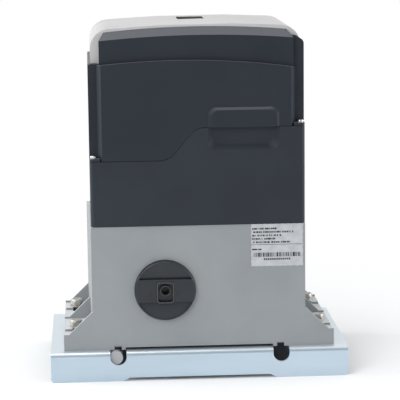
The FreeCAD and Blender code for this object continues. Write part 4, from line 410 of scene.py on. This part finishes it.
# Its print is plain: five rows of dashes in groups, a rule, two dashes, stripes and a row of blocks.
# Heights are above the ground, and the margins run from the label's left edge.
ink = {"lift": 0.00005, "textTop": 0.1673, "rowPitch": 0.0038, "letterHigh": 0.0019, "textMargin": 0.0008,
       "reaches": (0.50, 0.80, 0.57, 0.50, 0.73), "dashes": 60, "dashWide": (0.0007, 0.0016),
       "letterGap": 0.0004, "wordGap": 0.0012, "wordEvery": 0.15,
       "rule": 0.1485, "ruleHalf": 0.0002, "shortDashes": ((0.0010, 0.0068), (0.0078, 0.0115)),
       "shortHeights": (0.1424, 0.1439), "stripes": 52, "stripePitch": (0.0009, 0.0019),
       "stripeWide": (0.0004, 0.0011), "stripeMargin": 0.0012, "stripeEnd": 0.0030,
       "stripeHeights": (0.1347, 0.1395), "blocks": 13, "blockPitch": 0.0023, "blockWide": 0.0016,
       "blockMargin": 0.0140, "blockHeights": (0.1311, 0.1331)}
inkFinish = {"shade": (0.020, 0.020, 0.024), "shadeTwo": (0.05, 0.05, 0.055), "mottleScale": 900,
             "rough": 0.6, "specular": 0.2}


# Rows of left, right, low and high edges for bars of one height.
def barRows(left, right, low, high):
    return np.stack([left, right, np.full(len(left), low), np.full(len(left), high)], axis=1)


dice = np.random.default_rng(5)
bars = []
for line, reach in enumerate(ink["reaches"]):
    widths = dice.uniform(*ink["dashWide"], ink["dashes"])
    gaps = ink["letterGap"] + ink["wordGap"] * (dice.random(ink["dashes"]) < ink["wordEvery"])
    starts = np.cumsum(widths + gaps) - widths[0]
    keep = starts + widths < labelWide * reach
    left = label["left"] + ink["textMargin"] + starts
    high = ink["textTop"] - line * ink["rowPitch"]
    bars.append(barRows(left, left + widths, high - ink["letterHigh"], high)[keep])
bars.append([[label["left"], label["right"], ink["rule"] - ink["ruleHalf"], ink["rule"] + ink["ruleHalf"]]])
bars.append([[label["left"] + start, label["left"] + end, *ink["shortHeights"]]
             for start, end in ink["shortDashes"]])
stripes = np.cumsum(dice.uniform(*ink["stripePitch"], ink["stripes"])) + label["left"] + ink["stripeMargin"]
stripes = stripes[stripes < label["right"] - ink["stripeEnd"]]
bars.append(barRows(stripes, stripes + dice.uniform(*ink["stripeWide"], len(stripes)), *ink["stripeHeights"]))
blocks = np.arange(ink["blocks"]) * ink["blockPitch"] + label["left"] + ink["blockMargin"]
bars.append(barRows(blocks, blocks + ink["blockWide"], *ink["blockHeights"]))
printDepth = castingFront - label["lift"] - label["crinkle"] - ink["lift"]
printedBars("stickerPrint", np.concatenate(bars), printDepth, makeFinish("stickerInk", inkFinish), "frame")
print("sticker made")

# Low ridges moulded on the knob's grip bar, as plain ticks either side of the key pocket. Each place gives
# how far across from the knob's middle a ridge stands, and how low and high it reaches.
knobLow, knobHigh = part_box("release_knob")
knobMiddle = ((knobLow[0] + knobHigh[0]) / 2, (knobLow[2] + knobHigh[2]) / 2)
knobMarks = {"face": knobLow[1] + 0.0014, "rise": 0.00035, "wide": 0.0009, "rows": 11, "columns": 7,
             "places": {"A": (-0.0173, -0.0070, -0.0003), "B": (-0.0154, -0.0070, -0.0003),
                        "C": (0.0129, -0.0065, 0.0009), "D": (0.0157, -0.0065, 0.0009),
                        "E": (0.0213, -0.0009, 0.0006)}}
row, column = np.meshgrid(np.linspace(-1, 1, knobMarks["rows"]), np.linspace(-1, 1, knobMarks["columns"]),
                          indexing="ij")
dome = np.sqrt(np.clip((1 - row ** 6) * (1 - column ** 2), 0, 1))     # half-round across, blunt at its ends
for letter, (across, low, high) in knobMarks["places"].items():
    ridge = np.stack([knobMiddle[0] + across + column * knobMarks["wide"] / 2,
                      knobMarks["face"] - knobMarks["rise"] * dome,
                      knobMiddle[1] + (low + high) / 2 + row * (high - low) / 2], axis=-1)
    gridPiece("knobMark" + letter, ridge, knobPlastic, "knob")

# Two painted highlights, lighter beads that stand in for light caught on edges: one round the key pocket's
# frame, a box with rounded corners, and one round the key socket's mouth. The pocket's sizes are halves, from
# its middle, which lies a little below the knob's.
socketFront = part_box("key_socket")[0][1]
paintedHighlight = {"points": 96, "pocketWide": 0.0089, "pocketHigh": 0.0111, "corner": 0.0031, "pocketDrop": 0.0019,
          "pocketBead": 0.00045, "pocketSink": 0.0003,
          "mouth": 0.0056, "socketBead": 0.0003, "socketSink": 0.0001}
# Painted highlight: the beads are a lighter plastic than the knob, for the light their edges catch.
paintedHighlightFinish = {"shade": (0.050, 0.054, 0.060), "shadeTwo": (0.085, 0.090, 0.098), "mottleScale": 260,
                "rough": 0.28, "grainScale": 1300, "bump": 0.1}
paintedHighlightPlastic = makeFinish("paintedHighlightPlastic", paintedHighlightFinish)
sweep = np.linspace(0, 2 * np.pi, paintedHighlight["points"], endpoint=False)
circle = np.stack([np.cos(sweep), np.sin(sweep)], axis=1)
straight = np.array([paintedHighlight["pocketWide"], paintedHighlight["pocketHigh"]]) - paintedHighlight["corner"]
pocketEdge = np.sign(circle) * straight + paintedHighlight["corner"] * circle
beadRing("pocketBead", pocketEdge + [knobMiddle[0], knobMiddle[1] - paintedHighlight["pocketDrop"]],
         knobLow[1] + paintedHighlight["pocketSink"], paintedHighlight["pocketBead"], paintedHighlightPlastic, "knob")
beadRing("socketBead", paintedHighlight["mouth"] * circle + knobMiddle, socketFront + paintedHighlight["socketSink"],
         paintedHighlight["socketBead"], paintedHighlightPlastic, "knob")
print("knob marks and rubbed edges made")

# The floor is pale, with painted shade deep under the folded plate in place of the shadow there, and fades to
# plain white further out, where only the camera and reflections see the white.
floorLook = {"reach": 2.2, "shade": (0.90, 0.90, 0.90), "rough": 0.9, "paintedShade": (0.05, 0.053, 0.057),
             "paintedShadeX": (0.163, 0.105), "paintedShadeY": (0.090, 0.052), "fadeFrom": 0.22, "fadeTo": 0.62}
reach = floorLook["reach"]
floorMesh = bpy.data.meshes.new("floor")
floorMesh.from_pydata([(-reach, -reach, 0), (reach, -reach, 0), (reach, reach, 0), (-reach, reach, 0)], [],
                      [(0, 1, 2, 3)])
floor = bpy.data.objects.new("floor", floorMesh)
bpy.context.scene.collection.objects.link(floor)
floorMaterial = bpy.data.materials.new("paleFloor")
floorMaterial.use_nodes = True
floorMesh.materials.append(floorMaterial)
tree = floorMaterial.node_tree
place = addNode(tree, "TexCoord").outputs["Object"]
sides = addNode(tree, "SeparateXYZ", {"Vector": place})
# Painted shade: a dark patch under the plate's middle, softening into the pale floor towards its edges.
paintedShades = []
for axis, (outer, inner) in (("X", floorLook["paintedShadeX"]), ("Y", floorLook["paintedShadeY"])):
    size = addNode(tree, "Math", {0: sides.outputs[axis]}, operation="ABSOLUTE")
    paintedShades.append(addNode(tree, "MapRange", {"Value": size.outputs[0], "From Min": outer, "From Max": inner},
                         interpolation_type="SMOOTHSTEP").outputs["Result"])
under = addNode(tree, "Math", {0: paintedShades[0], 1: paintedShades[1]}, operation="MULTIPLY")
tone = mixColours(tree, under.outputs[0], (*floorLook["shade"], 1), (*floorLook["paintedShade"], 1))
floorShader = tree.nodes["Principled BSDF"]
setInputs(tree, floorShader, {"Base Color": tone, "Roughness": floorLook["rough"]})
away = addNode(tree, "VectorMath", {0: place}, operation="LENGTH")
fade = addNode(tree, "MapRange", {"Value": away.outputs["Value"], "From Min": floorLook["fadeFrom"],
                                  "From Max": floorLook["fadeTo"]}, interpolation_type="SMOOTHSTEP")
rays = addNode(tree, "LightPath")
viewed = addNode(tree, "Math", {0: rays.outputs["Is Camera Ray"], 1: rays.outputs["Is Glossy Ray"]},
                 operation="MAXIMUM")
faded = addNode(tree, "Math", {0: fade.outputs["Result"], 1: viewed.outputs[0]}, operation="MULTIPLY")
paper = addNode(tree, "Emission", {"Strength": 1})
floorMix = addNode(tree, "MixShader", {"Fac": faded.outputs[0], 1: floorShader.outputs[0],
                                       2: paper.outputs[0]})
tree.links.new(floorMix.outputs[0], tree.nodes["Material Output"].inputs["Surface"])

# The world lights the object evenly and is white behind it. Reflections see it white too, but dimmer towards
# the front, over a band along Y.
studioLook = {"ambient": 0.72, "tint": (0.96, 0.98, 1, 1), "frontDark": 0.40, "dimBand": (-0.8, 0.0)}
world = bpy.data.worlds.new("studio")
bpy.context.scene.world = world
world.use_nodes = True
tree = world.node_tree
tree.nodes.clear()
rays = addNode(tree, "LightPath")
sky = addNode(tree, "TexCoord").outputs["Generated"]
depth = addNode(tree, "SeparateXYZ", {"Vector": sky}).outputs["Y"]
behind = addNode(tree, "MapRange", {"Value": depth, "From Min": studioLook["dimBand"][0],
                                    "From Max": studioLook["dimBand"][1], "To Min": studioLook["frontDark"]})
ambient = addNode(tree, "Background", {"Color": studioLook["tint"], "Strength": studioLook["ambient"]})
mirrored = addNode(tree, "Background", {"Strength": behind.outputs["Result"]})
white = addNode(tree, "Background", {"Color": (1, 1, 1, 1), "Strength": 1})
glossy = addNode(tree, "MixShader", {"Fac": rays.outputs["Is Glossy Ray"], 1: ambient.outputs[0],
                                     2: mirrored.outputs[0]})
direct = addNode(tree, "Math", {0: rays.outputs["Is Camera Ray"], 1: rays.outputs["Is Transmission Ray"]},
                 operation="MAXIMUM")
backdrop = addNode(tree, "MixShader", {"Fac": direct.outputs[0], 1: glossy.outputs[0], 2: white.outputs[0]})
addNode(tree, "OutputWorld", {"Surface": backdrop.outputs[0]})

# Four round soft boxes, each at a place and aimed at a point on the object, all about as white.
lamps = {"topBox": {"place": (-0.5, -0.4, 2.0), "aim": (0, 0, 0.3), "wide": 1.2, "power": 9,
                    "tint": (1, 1, 1)},
         "frontBox": {"place": (-1.2, -1.8, 1.3), "aim": (0, 0, 0.2), "wide": 1.0, "power": 15,
                      "tint": (1, 0.99, 0.98)},
         "leftBox": {"place": (-1.7, 0.2, 0.6), "aim": (0, 0, 0.2), "wide": 0.9, "power": 15,
                     "tint": (1, 1, 1)},
         "rightBox": {"place": (1.7, -0.1, 0.6), "aim": (0, 0, 0.2), "wide": 0.9, "power": 13,
                      "tint": (1, 1, 1)}}
for name, look in lamps.items():
    lamp = bpy.data.lights.new(name, "AREA")
    lamp.shape = "DISK"
    lamp.size, lamp.energy, lamp.color = look["wide"], look["power"], look["tint"]
    holder = bpy.data.objects.new(name, lamp)
    holder.location = look["place"]
    holder.rotation_euler = (Vector(look["aim"]) - Vector(look["place"])).to_track_quat("-Z", "Y").to_euler()
    bpy.context.scene.collection.objects.link(holder)

# The camera stands a little left of the middle and above, with a long lens. Angles are in radians.
cameraView = {"place": (-0.11572, -2.04151, 0.53191), "yaw": 0.060653, "pitch": -0.169131, "roll": -0.011141,
              "lens": 162, "sensor": 36, "farthest": 50}
yaw, pitch, roll = cameraView["yaw"], cameraView["pitch"], cameraView["roll"]
ahead = Vector((math.sin(yaw) * math.cos(pitch), math.cos(yaw) * math.cos(pitch), math.sin(pitch)))
across = Vector((math.cos(yaw), -math.sin(yaw), 0))
upward = across.cross(ahead)
rightward = math.cos(roll) * across + math.sin(roll) * upward
topward = -math.sin(roll) * across + math.cos(roll) * upward
camera = bpy.data.cameras.new("camera")
camera.lens = cameraView["lens"]
camera.sensor_width = cameraView["sensor"]
camera.clip_end = cameraView["farthest"]
cameraHolder = bpy.data.objects.new("camera", camera)
facing = Matrix((rightward, topward, -ahead)).transposed().to_4x4()
cameraHolder.matrix_world = Matrix.Translation(cameraView["place"]) @ facing
bpy.context.scene.collection.objects.link(cameraHolder)
bpy.context.scene.camera = cameraHolder
bpy.context.scene.view_settings.view_transform = "Standard"
print("stage, lamps and camera set")
